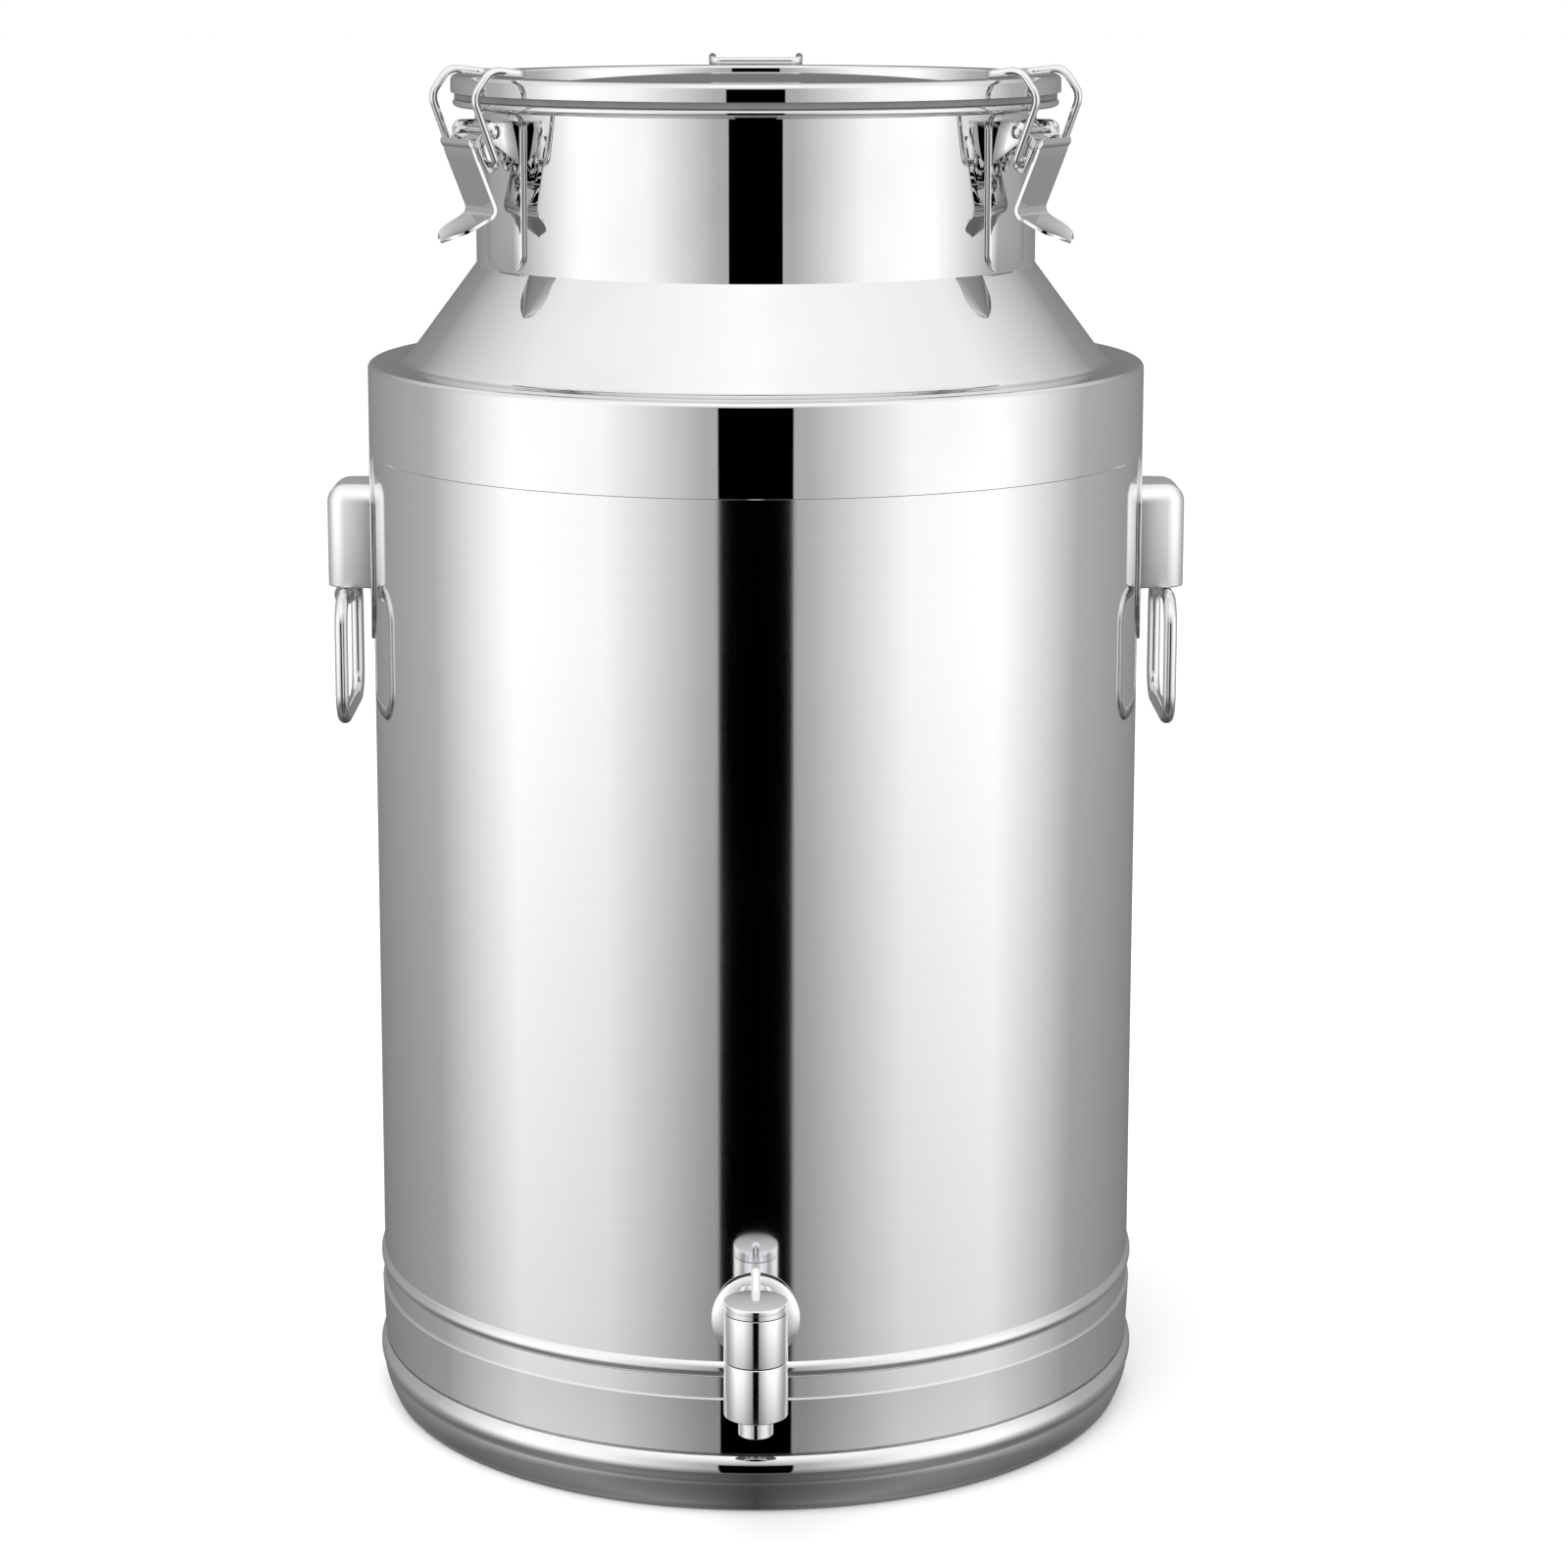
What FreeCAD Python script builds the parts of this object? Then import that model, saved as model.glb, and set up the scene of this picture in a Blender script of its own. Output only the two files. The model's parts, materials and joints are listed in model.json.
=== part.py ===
"""A 60 litre stainless steel milk can with a clamped lid, side ring handles and a drain tap.

Frame: origin on the floor at the can's axis, +Z up, tap towards -Y, handles at -X and +X.
Latches, handles and the tap are drawn in a local frame: X points out from the can's axis.
"""
import FreeCAD, Part
import math
import os
import re
import Sketcher

SIZES = {
    # body
    "body_radius": 190.0, "wall": 1.2, "lap": 10.0,
    "seam_height": 481.0, "band_height": 44.0, "ledge_width": 18.2, "cone_rise": 48.0,
    "barrel_foot": 26.0, "bead_height": 71.0, "bead_half": 3.0, "bead_bulge": 1.6,
    "shoulder_round": 3.0, "bottom_height": 34.0, "bottom_flange": 5.0, "bottom_dish": 6.0,
    # foot ring
    "foot_top": 57.0, "band_top": 28.5, "band_bottom": 17.0, "band_bulge": 1.8,
    "foot_inset": 4.5, "foot_roll": 2.2, "foot_flat": 0.15, "lower_bulge": 0.9,
    # neck and mouth
    "neck_radius": 137.2, "neck_length": 79.8,
    "flange_reach": 10.8, "flange_depth": 3.8, "flange_round": 1.7,
    # lid and its seal
    "seal_strip": 3.2, "lid_overhang": 11.8, "lid_depth": 8.4, "lid_round": 2.8,
    "rim_width": 18.0, "panel_inset": 21.0, "dome_rise": 6.5, "seal_gap": 0.6,
    "seal_lip": 2.0, "seal_lip_drop": 7.0, "mouth_clearance": 0.5,
    # latches
    "base_rise": 1.0, "base_drop": 4.8, "base_half": 18.0, "base_sheet": 2.0,
    "base_round": 8.0, "ear_sheet": 1.9, "pivot_out": 13.8, "pivot_drop": 12.8, "pin_radius": 2.0,
    "pin_head": 3.2, "pin_head_thick": 1.3, "running": 0.05, "ear_round": 5.0,
    "lever_half": 15.5, "lever_sheet": 1.5, "hook_offset": 1.3, "hook_drop": 15.0,
    "curl_out": 8.0, "curl_drop": 4.0, "curl_radius": 4.5,
    "web_low_out": 3.5, "web_low_drop": 38.5, "tab_out": 19.5, "tab_drop": 49.5,
    "tab_half": 14.5, "tab_round": 12.0, "cheek_round": 4.2,
    "wire_radius": 1.9, "wire_half_span": 22.8, "wire_bend": 8.5, "wire_corner": 5.0,
    "wire_shoulder_out": 13.2, "wire_shoulder_rise": 16.5,
    "wire_crest_out": 3.8, "wire_crest_rise": 29.0,
    "bar_inset": 14.0, "bar_clearance": 0.3,
    # side handles
    "plate_drop": 1.0, "plate_length": 95.0, "plate_half": 33.0, "plate_sheet": 1.5,
    "plate_round": 28.0, "pocket_drop": 16.0, "pocket_length": 51.0, "pocket_half": 24.0,
    "pocket_depth": 20.5, "pocket_sheet": 1.5, "pocket_round": 6.0,
    "ring_sag": 3.5, "ring_out": 13.5, "rod_radius": 3.25, "ring_half": 39.0,
    "ring_drop": 60.5, "ring_corner": 14.0, "eye_sheet": 2.2, "eye_inner": 9.0, "eye_outer": 19.0,
    # tap
    "tap_height": 97.5, "tap_reach": 39.5, "tap_radius": 14.75, "sleeve_length": 26.0,
    "split_drop": 6.2, "split_gap": 0.5, "knob_rise": 17.1, "knob_gap": 0.3, "knob_thick": 4.7,
    "cap_round": 0.5, "line_drop": 1.9, "line_depth": 0.35, "rosette_radius": 20.5,
    "rosette_sheet": 3.5, "rosette_round": 1.0, "seal_sheet": 1.8, "seal_radius": 18.5,
    "shank_radius": 10.2, "hole_clearance": 0.3, "shank_inside": 17.0, "collar_radius": 11.5,
    "collar_length": 2.0, "inlet_radius": 5.9, "inner_seal_radius": 16.0,
    "inner_seal_sheet": 2.0, "nut_flats": 27.0, "nut_thick": 6.0, "core_radius": 8.9,
    "core_clearance": 0.05, "chamber_drop": 13.5, "core_end_gap": 0.3, "thread_radius": 11.5,
    "thread_drop": 17.5, "spigot_radius": 6.0, "key_rise": 2.5, "port_radius": 4.0,
    "oring_radius": 0.9, "oring_drop": 8.5, "oring_rise": 11.5,
    "nozzle_radius": 8.0, "nozzle_bore": 5.0, "nozzle_length": 9.6, "nozzle_spigot": 3.0,
    "lever_rod": 2.25, "lever_tip_back": 23.0, "lever_tip_rise": 7.5, "lever_root_back": 12.5,
}
# sizes that follow from the driving ones, as formulas on the same sheet
PLACES = {
    "ledge_height": "seam_height + band_height",
    "ledge_radius": "body_radius + wall - ledge_width",
    "neck_foot": "ledge_height + cone_rise",
    "mouth_height": "neck_foot + neck_length",
    "lid_radius": "neck_radius + lid_overhang",
    "panel_radius": "lid_radius - panel_inset",
    "base_low": "neck_foot + base_rise",
    "base_high": "mouth_height - base_drop",
    "plate_high": "seam_height - plate_drop",
    "plate_low": "plate_high - plate_length",
    "pocket_high": "plate_high - pocket_drop",
    "pocket_low": "pocket_high - pocket_length",
    "ring_height": "pocket_low - ring_sag",
    "tap_split": "tap_height - split_drop",
    "tap_foot": "tap_split - sleeve_length",
    "knob_foot": "tap_height + knob_rise",
    "tap_top": "knob_foot + knob_thick",
    "chamber_low": "tap_height - chamber_drop",
    "thread_low": "tap_height - thread_drop",
    "oring_low": "tap_height - oring_drop",
    "oring_high": "tap_height + oring_rise",
    # the ear's end is an arc a little over a half turn, set out by a 7-24-25 triangle
    "ear_half": "ear_round * 24 / 25",
    "ear_nose": "ear_round * 7 / 25",
}
LATCH_PLACES = {"left": -150.0, "right": -30.0, "rear": 90.0}
HANDLE_PLACES = {"left": 180.0, "right": 0.0}
TAP_PLACE = -90.0

# shared places, each worked out from the sheet
PIVOT_X = "(neck_radius + pivot_out)"
PIVOT_Z = "(mouth_height - pivot_drop)"
HOOK_X = "(neck_radius + pivot_out + hook_offset)"
HOOK_Z = "(mouth_height - pivot_drop - hook_drop)"
SEAL_TOP = "(mouth_height + seal_strip)"
LID_TOP = "(mouth_height + seal_strip + lid_depth)"
RING_X = "(body_radius + ring_out)"
TAP_X = "(body_radius + tap_reach)"
ROSETTE_BACK = "(body_radius + seal_sheet)"
ROSETTE_FRONT = "(body_radius + seal_sheet + rosette_sheet)"

doc = FreeCAD.newDocument("milk_can")
sheet = doc.addObject("Spreadsheet::Sheet", "Sizes")
nodes = []


def fill_sheet():
    """One row for each size: its name, then its value or formula under that alias."""
    formulas = {name: "=" + text for name, text in PLACES.items()}
    for row, (name, value) in enumerate({**SIZES, **formulas}.items(), start=1):
        sheet.set(f"A{row}", name)
        sheet.set(f"B{row}", str(value))
        sheet.setAlias(f"B{row}", name)
    doc.recompute()


def tied(text):
    """An expression in which each size's name points to its cell."""
    def cell(word):
        return "Sizes." + word[0] if word[0] in SIZES or word[0] in PLACES else word[0]

    return re.sub(r"[a-z]\w*", cell, text)


def size(text):
    """The number that an expression on the sheet comes to."""
    return float(sheet.evalExpression(tied(text)))


def new_body(name, spin=0.0, shift=None):
    """An empty body, turned about the can's axis and listed as one of the can's pieces."""
    body = doc.addObject("PartDesign::Body", name)
    body.Label = name
    turn = FreeCAD.Rotation(FreeCAD.Vector(0, 0, 1), spin)
    body.Placement = FreeCAD.Placement(shift or FreeCAD.Vector(), turn)
    nodes.append(body)
    return body


def new_sketch(body, plane):
    """An empty sketch on one of the body's own planes."""
    sketch = body.newObject("Sketcher::SketchObject", body.Name + "_sketch")
    support = next(o for o in body.Origin.OriginFeatures if o.Role == plane + "_Plane")
    sketch.AttachmentSupport = (support, [""])
    sketch.MapMode = "FlatFace"
    return sketch


def hold(sketch, kind, geometry, end, text):
    """Fixes one coordinate of a point by an expression on the sheet."""
    value = size(text)
    index = sketch.addConstraint(Sketcher.Constraint(kind, -1, 1, geometry, end, value))
    sketch.setExpression(f"Constraints[{index}]", tied(text))


def end_at(sketch, geometry, point):
    """Which end of a line or an arc lies at a point."""
    first = sketch.getPoint(geometry, 1).distanceToPoint(point)
    return 1 if first < sketch.getPoint(geometry, 2).distanceToPoint(point) else 2


def arc_between(start, finish, radius):
    """An arc from start to finish that bulges right of its path, or left if radius is negative."""
    chord = finish - start
    sagitta = abs(radius) - math.sqrt(radius * radius - chord.Length ** 2 / 4)
    side = FreeCAD.Vector(chord.y, -chord.x, 0).normalize()
    crest = (start + finish) * 0.5 + side * math.copysign(sagitta, radius)
    return Part.Arc(start, crest, finish)


def outline(body, plane, points, arcs=None):
    """A closed outline through points, with arcs as {index of the start: signed radius}."""
    arcs = arcs or {}
    sketch = new_sketch(body, plane)
    spots = [FreeCAD.Vector(size(x), size(y), 0) for x, y in points]
    after = spots[1:] + spots[:1]
    for index, (start, finish) in enumerate(zip(spots, after)):
        if index in arcs:
            sketch.addGeometry(arc_between(start, finish, size(arcs[index])))
        else:
            sketch.addGeometry(Part.LineSegment(start, finish))
    for index, spot in enumerate(spots):
        before = (index - 1) % len(spots)
        mine = end_at(sketch, index, spot)
        other = end_at(sketch, before, spot)
        sketch.addConstraint(Sketcher.Constraint("Coincident", before, other, index, mine))
        hold(sketch, "DistanceX", index, mine, points[index][0])
        hold(sketch, "DistanceY", index, mine, points[index][1])
    for index, radius in arcs.items():
        spot = sketch.addConstraint(Sketcher.Constraint("Radius", index, abs(size(radius))))
        sketch.setExpression(f"Constraints[{spot}]", tied(f"abs({radius})"))
    return sketch


def circles(body, plane, rings):
    """A sketch of circles, each given as centre x, centre y and radius."""
    sketch = new_sketch(body, plane)
    for index, (x, y, radius) in enumerate(rings):
        centre = FreeCAD.Vector(size(x), size(y), 0)
        sketch.addGeometry(Part.Circle(centre, FreeCAD.Vector(0, 0, 1), size(radius)))
        hold(sketch, "DistanceX", index, 3, x)
        hold(sketch, "DistanceY", index, 3, y)
        spot = sketch.addConstraint(Sketcher.Constraint("Radius", index, size(radius)))
        sketch.setExpression(f"Constraints[{spot}]", tied(radius))
    return sketch


def turned(body, sketch, angle=None, cut=False):
    """The sketch turned about the body's Z axis: all round, or by an angle either side of X."""
    kind = "PartDesign::Groove" if cut else "PartDesign::Revolution"
    feature = body.newObject(kind, body.Name + "_turn")
    feature.Profile = sketch
    feature.ReferenceAxis = (sketch, ["V_Axis"])
    if angle:
        feature.Midplane = True
        feature.setExpression("Angle", tied(angle))
    body.Tip = feature
    doc.recompute()
    return feature


def padded(body, sketch, width, cut=False, one_side=False):
    """The sketch raised, or cut, to a width shared by both sides of its plane."""
    kind = "PartDesign::Pocket" if cut else "PartDesign::Pad"
    feature = body.newObject(kind, body.Name + "_pad")
    feature.Profile = sketch
    feature.SideType = "One side" if one_side else "Symmetric"
    feature.setExpression("Length", tied(width))
    body.Tip = feature
    doc.recompute()
    return feature


def rounded(body, wanted, radius):
    """A fillet on every edge of the body that wanted(edge) accepts."""
    base = body.Tip
    edges = [(f"Edge{n}", edge) for n, edge in enumerate(base.Shape.Edges, start=1)]
    names = [name for name, edge in edges if not edge.Degenerated and wanted(edge)]
    if not names:
        raise ValueError(f"{body.Name}: no edge to round on {base.Name}")
    feature = body.newObject("PartDesign::Fillet", body.Name + "_round")
    feature.Base = (base, names)
    feature.setExpression("Radius", tied(radius))
    body.Tip = feature
    doc.recompute()
    return feature


def hoop(radius, height):
    """A test for a circle about the Z axis with this radius and height."""
    def test(edge):
        curve = edge.Curve
        if not isinstance(curve, Part.Circle):
            return False
        level = abs(curve.Center.z - size(height)) < 0.01
        return level and abs(curve.Radius - size(radius)) < 0.01
    return test


def any_of(*tests):
    """A test that passes an edge that any of the tests passes."""
    return lambda edge: any(test(edge) for test in tests)


def short_corner(low, high, half, sheet_name):
    """A test for the edges through a curved plate at its corners, by height and thickness."""
    def test(edge):
        box = edge.BoundBox
        thin = edge.Length < size(sheet_name) * 1.2
        at_end = min(abs(box.ZMax - size(low)), abs(box.ZMax - size(high))) < 0.01
        return thin and at_end and abs(edge.CenterOfMass.y) > size(half) * 0.8
    return test


# ---------------------------------------------------------------- the vessel


def barrel_shell():
    """The rolled barrel wall, with the raised bead above the foot ring."""
    body = new_body("barrel_shell", TAP_PLACE)
    inner = "body_radius - wall"
    wall = [(inner, "barrel_foot"), ("body_radius", "barrel_foot"),
            ("body_radius", "seam_height + lap"), (inner, "seam_height + lap")]
    turned(body, outline(body, "XZ", wall))
    root = "body_radius - wall / 2"
    bulge = "((bead_half ^ 2 + (bead_bulge + wall / 2) ^ 2) / (2 * (bead_bulge + wall / 2)))"
    bead = [(root, "bead_height - bead_half"), (root, "bead_height + bead_half")]
    turned(body, outline(body, "XZ", bead, {0: bulge}))
    hole = circles(body, "YZ", [("0", "tap_height", "shank_radius + hole_clearance")])
    padded(body, hole, "body_radius + lap", cut=True, one_side=True).Reversed = True
    doc.recompute()


UNDER = "(ledge_height - wall)"
SLOPE = "(ledge_radius - neck_radius) / (neck_foot - ledge_height)"
CREASE = f"(neck_radius - wall + (neck_foot - ledge_height + wall) * {SLOPE})"


def shoulder_shell():
    """The drawn shoulder: a band that laps over the barrel, and a flat ledge to the cone."""
    body = new_body("shoulder_shell")
    outer = "body_radius + wall"
    profile = [(outer, "seam_height"), (outer, "ledge_height"), ("ledge_radius", "ledge_height"),
               (CREASE, UNDER), ("body_radius", UNDER), ("body_radius", "seam_height")]
    turned(body, outline(body, "XZ", profile))
    rounded(body, hoop(outer, "ledge_height"), "shoulder_round")
    rounded(body, hoop("body_radius", UNDER), "shoulder_round - wall")


def shoulder_cone():
    """The cone, from the ledge's inner edge up to the neck."""
    body = new_body("shoulder_cone")
    profile = [("ledge_radius", "ledge_height"), ("neck_radius", "neck_foot"),
               ("neck_radius - wall", "neck_foot"), (CREASE, UNDER)]
    turned(body, outline(body, "XZ", profile))


def neck_ring():
    """The straight neck."""
    body = new_body("neck_ring")
    inner = "neck_radius - wall"
    profile = [(inner, "neck_foot"), ("neck_radius", "neck_foot"),
               ("neck_radius", "mouth_height"), (inner, "mouth_height")]
    turned(body, outline(body, "XZ", profile))


def mouth_ring():
    """The stiffening ring round the mouth, which the lid's rim stands over."""
    body = new_body("mouth_ring")
    reach = "neck_radius + flange_reach"
    under = "mouth_height - flange_depth"
    profile = [("neck_radius", under), (reach, under), (reach, "mouth_height"),
               ("neck_radius", "mouth_height")]
    turned(body, outline(body, "XZ", profile))
    rounded(body, any_of(hoop(reach, under), hoop(reach, "mouth_height")), "flange_round")


def bottom_plate():
    """The dished bottom, with a flange turned down inside the barrel."""
    body = new_body("bottom_plate")
    edge = "body_radius - wall"
    dip = "bottom_height - bottom_dish"
    profile = [("0", dip), (f"{edge} - wall", "bottom_height - wall"),
               (f"{edge} - wall", "bottom_height - wall - bottom_flange"),
               (edge, "bottom_height - wall - bottom_flange"), (edge, "bottom_height"),
               (f"{edge} - 2 * wall", "bottom_height"), ("0", f"{dip} + wall")]
    turned(body, outline(body, "XZ", profile))


def foot_ring():
    """The foot ring: a lap over the barrel, a raised band, and a rolled edge worn flat below."""
    body = new_body("foot_ring")
    outer = "body_radius + wall"
    low_x = "body_radius + wall - foot_inset"
    half = "(band_top - band_bottom) / 2"
    band = f"(({half}) ^ 2 + band_bulge ^ 2) / (2 * band_bulge)"
    run = "sqrt(foot_inset ^ 2 + (band_bottom - foot_roll) ^ 2) / 2"
    lower = f"(({run}) ^ 2 + lower_bulge ^ 2) / (2 * lower_bulge)"
    profile = [(low_x, "foot_roll"), (outer, "band_bottom"), (outer, "band_top"),
               (outer, "foot_top"), ("body_radius", "foot_top"),
               ("body_radius", "band_bottom"), (f"{low_x} - wall", "foot_roll")]
    turned(body, outline(body, "XZ", profile, {0: lower, 1: band}))
    hem_x = f"{low_x} - foot_roll"
    turned(body, circles(body, "XZ", [(hem_x, "foot_roll - foot_flat", "foot_roll")]))
    ground = [(f"{hem_x} - 2 * foot_roll", "-foot_roll"), (f"{hem_x} + 2 * foot_roll", "-foot_roll"),
              (f"{hem_x} + 2 * foot_roll", "0"), (f"{hem_x} - 2 * foot_roll", "0")]
    turned(body, outline(body, "XZ", ground), cut=True)


# ---------------------------------------------------------------- lid and seal


def lid_shell():
    """The pressed lid: a skirt, a flat rim that the bails press on, and a domed panel."""
    body = new_body("lid_shell")
    rim_in = "(lid_radius - rim_width)"
    rise = "dome_rise"
    dome = f"(panel_radius ^ 2 + {rise} ^ 2) / (2 * {rise})"
    low = f"{LID_TOP} - dome_rise - wall"
    profile = [("0", f"{LID_TOP} - wall"), ("panel_radius", low), (rim_in, low),
               (rim_in, SEAL_TOP), (f"{rim_in} + wall", SEAL_TOP),
               (f"{rim_in} + wall", f"{LID_TOP} - wall"),
               ("lid_radius - wall", f"{LID_TOP} - wall"), ("lid_radius - wall", SEAL_TOP),
               ("lid_radius", SEAL_TOP), ("lid_radius", LID_TOP), (rim_in, LID_TOP),
               (rim_in, f"{low} + wall * 1.5"), ("panel_radius", f"{low} + wall"),
               ("0", LID_TOP)]
    turned(body, outline(body, "XZ", profile, {0: f"-({dome})", 12: dome}))
    rounded(body, hoop("lid_radius", LID_TOP), "lid_round")


def lid_gasket():
    """The silicone seal in the rim's channel, with a lip that centres the lid in the mouth."""
    body = new_body("lid_gasket")
    out = "lid_radius - wall - seal_gap"
    lip_out = "neck_radius - wall - mouth_clearance"
    lip_in = f"{lip_out} - seal_lip"
    lip_low = "mouth_height - seal_lip_drop"
    profile = [(lip_in, lip_low), (lip_out, lip_low), (lip_out, "mouth_height"),
               (out, "mouth_height"), (out, f"{LID_TOP} - wall"), (lip_in, f"{LID_TOP} - wall")]
    turned(body, outline(body, "XZ", profile))


# ---------------------------------------------------------------- latches


def latch_base(side, spin):
    """A curved plate on the neck with a U bracket, whose two ears carry the pivot pin."""
    body = new_body(f"latch_{side}_base", spin)
    front = "neck_radius + base_sheet"
    plate = [("neck_radius", "base_low"), (front, "base_low"), (front, "base_high"),
             ("neck_radius", "base_high")]
    turned(body, outline(body, "XZ", plate), "2 * base_half / neck_radius * 180 / pi")
    rounded(body, short_corner("base_low", "base_high", "base_half", "base_sheet"), "base_round")
    root = "neck_radius + base_sheet / 2"
    nose = f"{PIVOT_X} + ear_nose"
    ear = [(root, f"{PIVOT_Z} - 3 * ear_round"), (nose, f"{PIVOT_Z} - ear_half"),
           (nose, f"{PIVOT_Z} + ear_half"), (root, f"{PIVOT_Z} + ear_half")]
    padded(body, outline(body, "XZ", ear, {1: "ear_round"}), "2 * base_half")
    clear = f"{PIVOT_Z} - 4 * ear_round"
    top = f"{PIVOT_Z} + 2 * ear_round"
    gap_x = "neck_radius + base_sheet + ear_sheet / 2"
    far = f"{PIVOT_X} + 2 * ear_round"
    gap = [(gap_x, clear), (far, clear), (far, top), (gap_x, top)]
    padded(body, outline(body, "XZ", gap), "2 * (base_half - ear_sheet)", cut=True)
    bore = circles(body, "XZ", [(PIVOT_X, PIVOT_Z, "pin_radius")])
    padded(body, bore, "3 * base_half", cut=True)


def latch_pin(side, spin):
    """The rivet that the lever turns on, headed outside both ears."""
    body = new_body(f"latch_{side}_pivot_pin", spin)
    shaft = circles(body, "XZ", [(PIVOT_X, PIVOT_Z, "pin_radius")])
    padded(body, shaft, "2 * base_half")
    head = circles(body, "XZ", [(PIVOT_X, PIVOT_Z, "pin_head")])
    padded(body, head, "2 * (base_half + pin_head_thick)")
    gap = circles(body, "XZ", [(PIVOT_X, PIVOT_Z, "2 * pin_head"),
                               (PIVOT_X, PIVOT_Z, "pin_radius")])
    padded(body, gap, "2 * base_half", cut=True)


def latch_lever(side, spin):
    """The pressed lever: a web with a rolled top, a flared finger tab and two cheeks."""
    body = new_body(f"latch_{side}_lever", spin)
    cheek = [(f"{PIVOT_X}", f"{PIVOT_Z} + cheek_round"),
             (f"{PIVOT_X} - cheek_round", PIVOT_Z),
             (f"{HOOK_X} - cheek_round", HOOK_Z), (HOOK_X, f"{HOOK_Z} - cheek_round"),
             (f"{HOOK_X} + cheek_round", f"{HOOK_Z} - cheek_round"),
             (f"{PIVOT_X} + curl_out", f"{PIVOT_Z} - curl_drop"),
             (f"{PIVOT_X} + curl_out", f"{PIVOT_Z} - curl_drop + curl_radius / 2")]
    corner = {0: "-cheek_round", 2: "-cheek_round"}
    padded(body, outline(body, "XZ", cheek, corner), "2 * lever_half")
    inside = [(f"{PIVOT_X} - 2 * cheek_round", f"{HOOK_Z} - 2 * cheek_round"),
              (f"{PIVOT_X} + 3 * cheek_round", f"{HOOK_Z} - 2 * cheek_round"),
              (f"{PIVOT_X} + 3 * cheek_round", f"{PIVOT_Z} + 2 * cheek_round"),
              (f"{PIVOT_X} - 2 * cheek_round", f"{PIVOT_Z} + 2 * cheek_round")]
    padded(body, outline(body, "XZ", inside), "2 * (lever_half - lever_sheet)", cut=True)
    curl_x = f"{PIVOT_X} + curl_out"
    curl_z = f"{PIVOT_Z} - curl_drop"
    low_x = f"{PIVOT_X} - web_low_out"
    low_z = f"{PIVOT_Z} - web_low_drop"
    web = [(f"{curl_x} + curl_radius - lever_sheet", curl_z), (low_x, low_z),
           (f"{low_x} + lever_sheet / 2", f"{low_z} - 2 * lever_sheet"),
           (f"{PIVOT_X} + tab_out", f"{PIVOT_Z} - tab_drop - lever_sheet"),
           (f"{PIVOT_X} + tab_out + lever_sheet / 2", f"{PIVOT_Z} - tab_drop"),
           (f"{low_x} + 2.5 * lever_sheet", f"{low_z} - lever_sheet / 2"),
           (f"{low_x} + 1.6 * lever_sheet", f"{low_z} + lever_sheet / 2"),
           (f"{curl_x} + curl_radius", curl_z)]
    padded(body, outline(body, "XZ", web), "2 * lever_half")
    curl = circles(body, "XZ", [(curl_x, curl_z, "curl_radius"),
                                (curl_x, curl_z, "curl_radius - lever_sheet")])
    padded(body, curl, "2 * lever_half")
    tip_x = size(f"{PIVOT_X} + tab_out")

    def tab_corner(edge):
        at_tip = edge.CenterOfMass.x > tip_x - 1
        return at_tip and abs(edge.CenterOfMass.y) > size("lever_half") * 0.9

    rounded(body, tab_corner, "tab_round")
    bores = circles(body, "XZ", [(PIVOT_X, PIVOT_Z, "pin_radius + running"),
                                 (HOOK_X, HOOK_Z, "wire_radius + running")])
    padded(body, bores, "3 * lever_half", cut=True)


def bent_wire(corners, radii, radius):
    """A round wire along straight runs joined by tangent arcs, one radius per inner corner."""
    edges = []
    start = corners[0]
    for here, after, bend in zip(corners[1:-1], corners[2:], radii):
        back = (start - here).normalize()
        ahead = (after - here).normalize()
        half = back.getAngle(ahead) / 2
        run = bend / math.tan(half)
        into = here + back * run
        out = here + ahead * run
        middle = (back + ahead).normalize()
        crest = here + middle * (bend / math.sin(half) - bend)
        edges.append(Part.LineSegment(start, into).toShape())
        edges.append(Part.Arc(into, crest, out).toShape())
        start = out
    edges.append(Part.LineSegment(start, corners[-1]).toShape())
    path = Part.Wire(edges)
    circle = Part.Circle(corners[0], corners[1] - corners[0], radius)
    section = Part.Wire([circle.toShape()])
    pipe = Part.BRepOffsetAPI.MakePipeShell(path)
    pipe.setFrenetMode(False)
    pipe.add(section)
    pipe.build()
    pipe.makeSolid()
    return pipe.shape()


def latch_bail(side, spin):
    """The sprung wire bail: hooks in the cheeks, two bowed legs, and a bar over the lid's rim."""
    hook_x = size(HOOK_X)
    hook_z = size(HOOK_Z)
    span = size("wire_half_span")
    inner = size("lever_half - 2 * lever_sheet")
    low = (hook_x, hook_z)
    shoulder = (size(f"{PIVOT_X} + wire_shoulder_out"), size(f"{PIVOT_Z} + wire_shoulder_rise"))
    crest = (size(f"{PIVOT_X} + wire_crest_out"), size(f"{PIVOT_Z} + wire_crest_rise"))
    bar = (size(f"{PIVOT_X} - bar_inset"), size(f"{LID_TOP} + bar_clearance + wire_radius"))
    side_path = [low, shoulder, crest, bar]
    first = [FreeCAD.Vector(x, -span, z) for x, z in side_path]
    second = [FreeCAD.Vector(x, span, z) for x, z in reversed(side_path)]
    corners = [FreeCAD.Vector(hook_x, -inner, hook_z), *first, *second,
               FreeCAD.Vector(hook_x, inner, hook_z)]
    bend = size("wire_bend")
    corner = size("wire_corner")
    turn = size("wire_radius") * 1.6
    radii = [turn, bend, bend, corner, corner, bend, bend, turn]
    piece = doc.addObject("Part::Feature", f"latch_{side}_bail")
    piece.Label = piece.Name
    piece.Shape = bent_wire(corners, radii, size("wire_radius"))
    turn_about = FreeCAD.Rotation(FreeCAD.Vector(0, 0, 1), spin)
    piece.Placement = FreeCAD.Placement(FreeCAD.Vector(), turn_about)
    nodes.append(piece)


# ---------------------------------------------------------------- side handles


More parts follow.
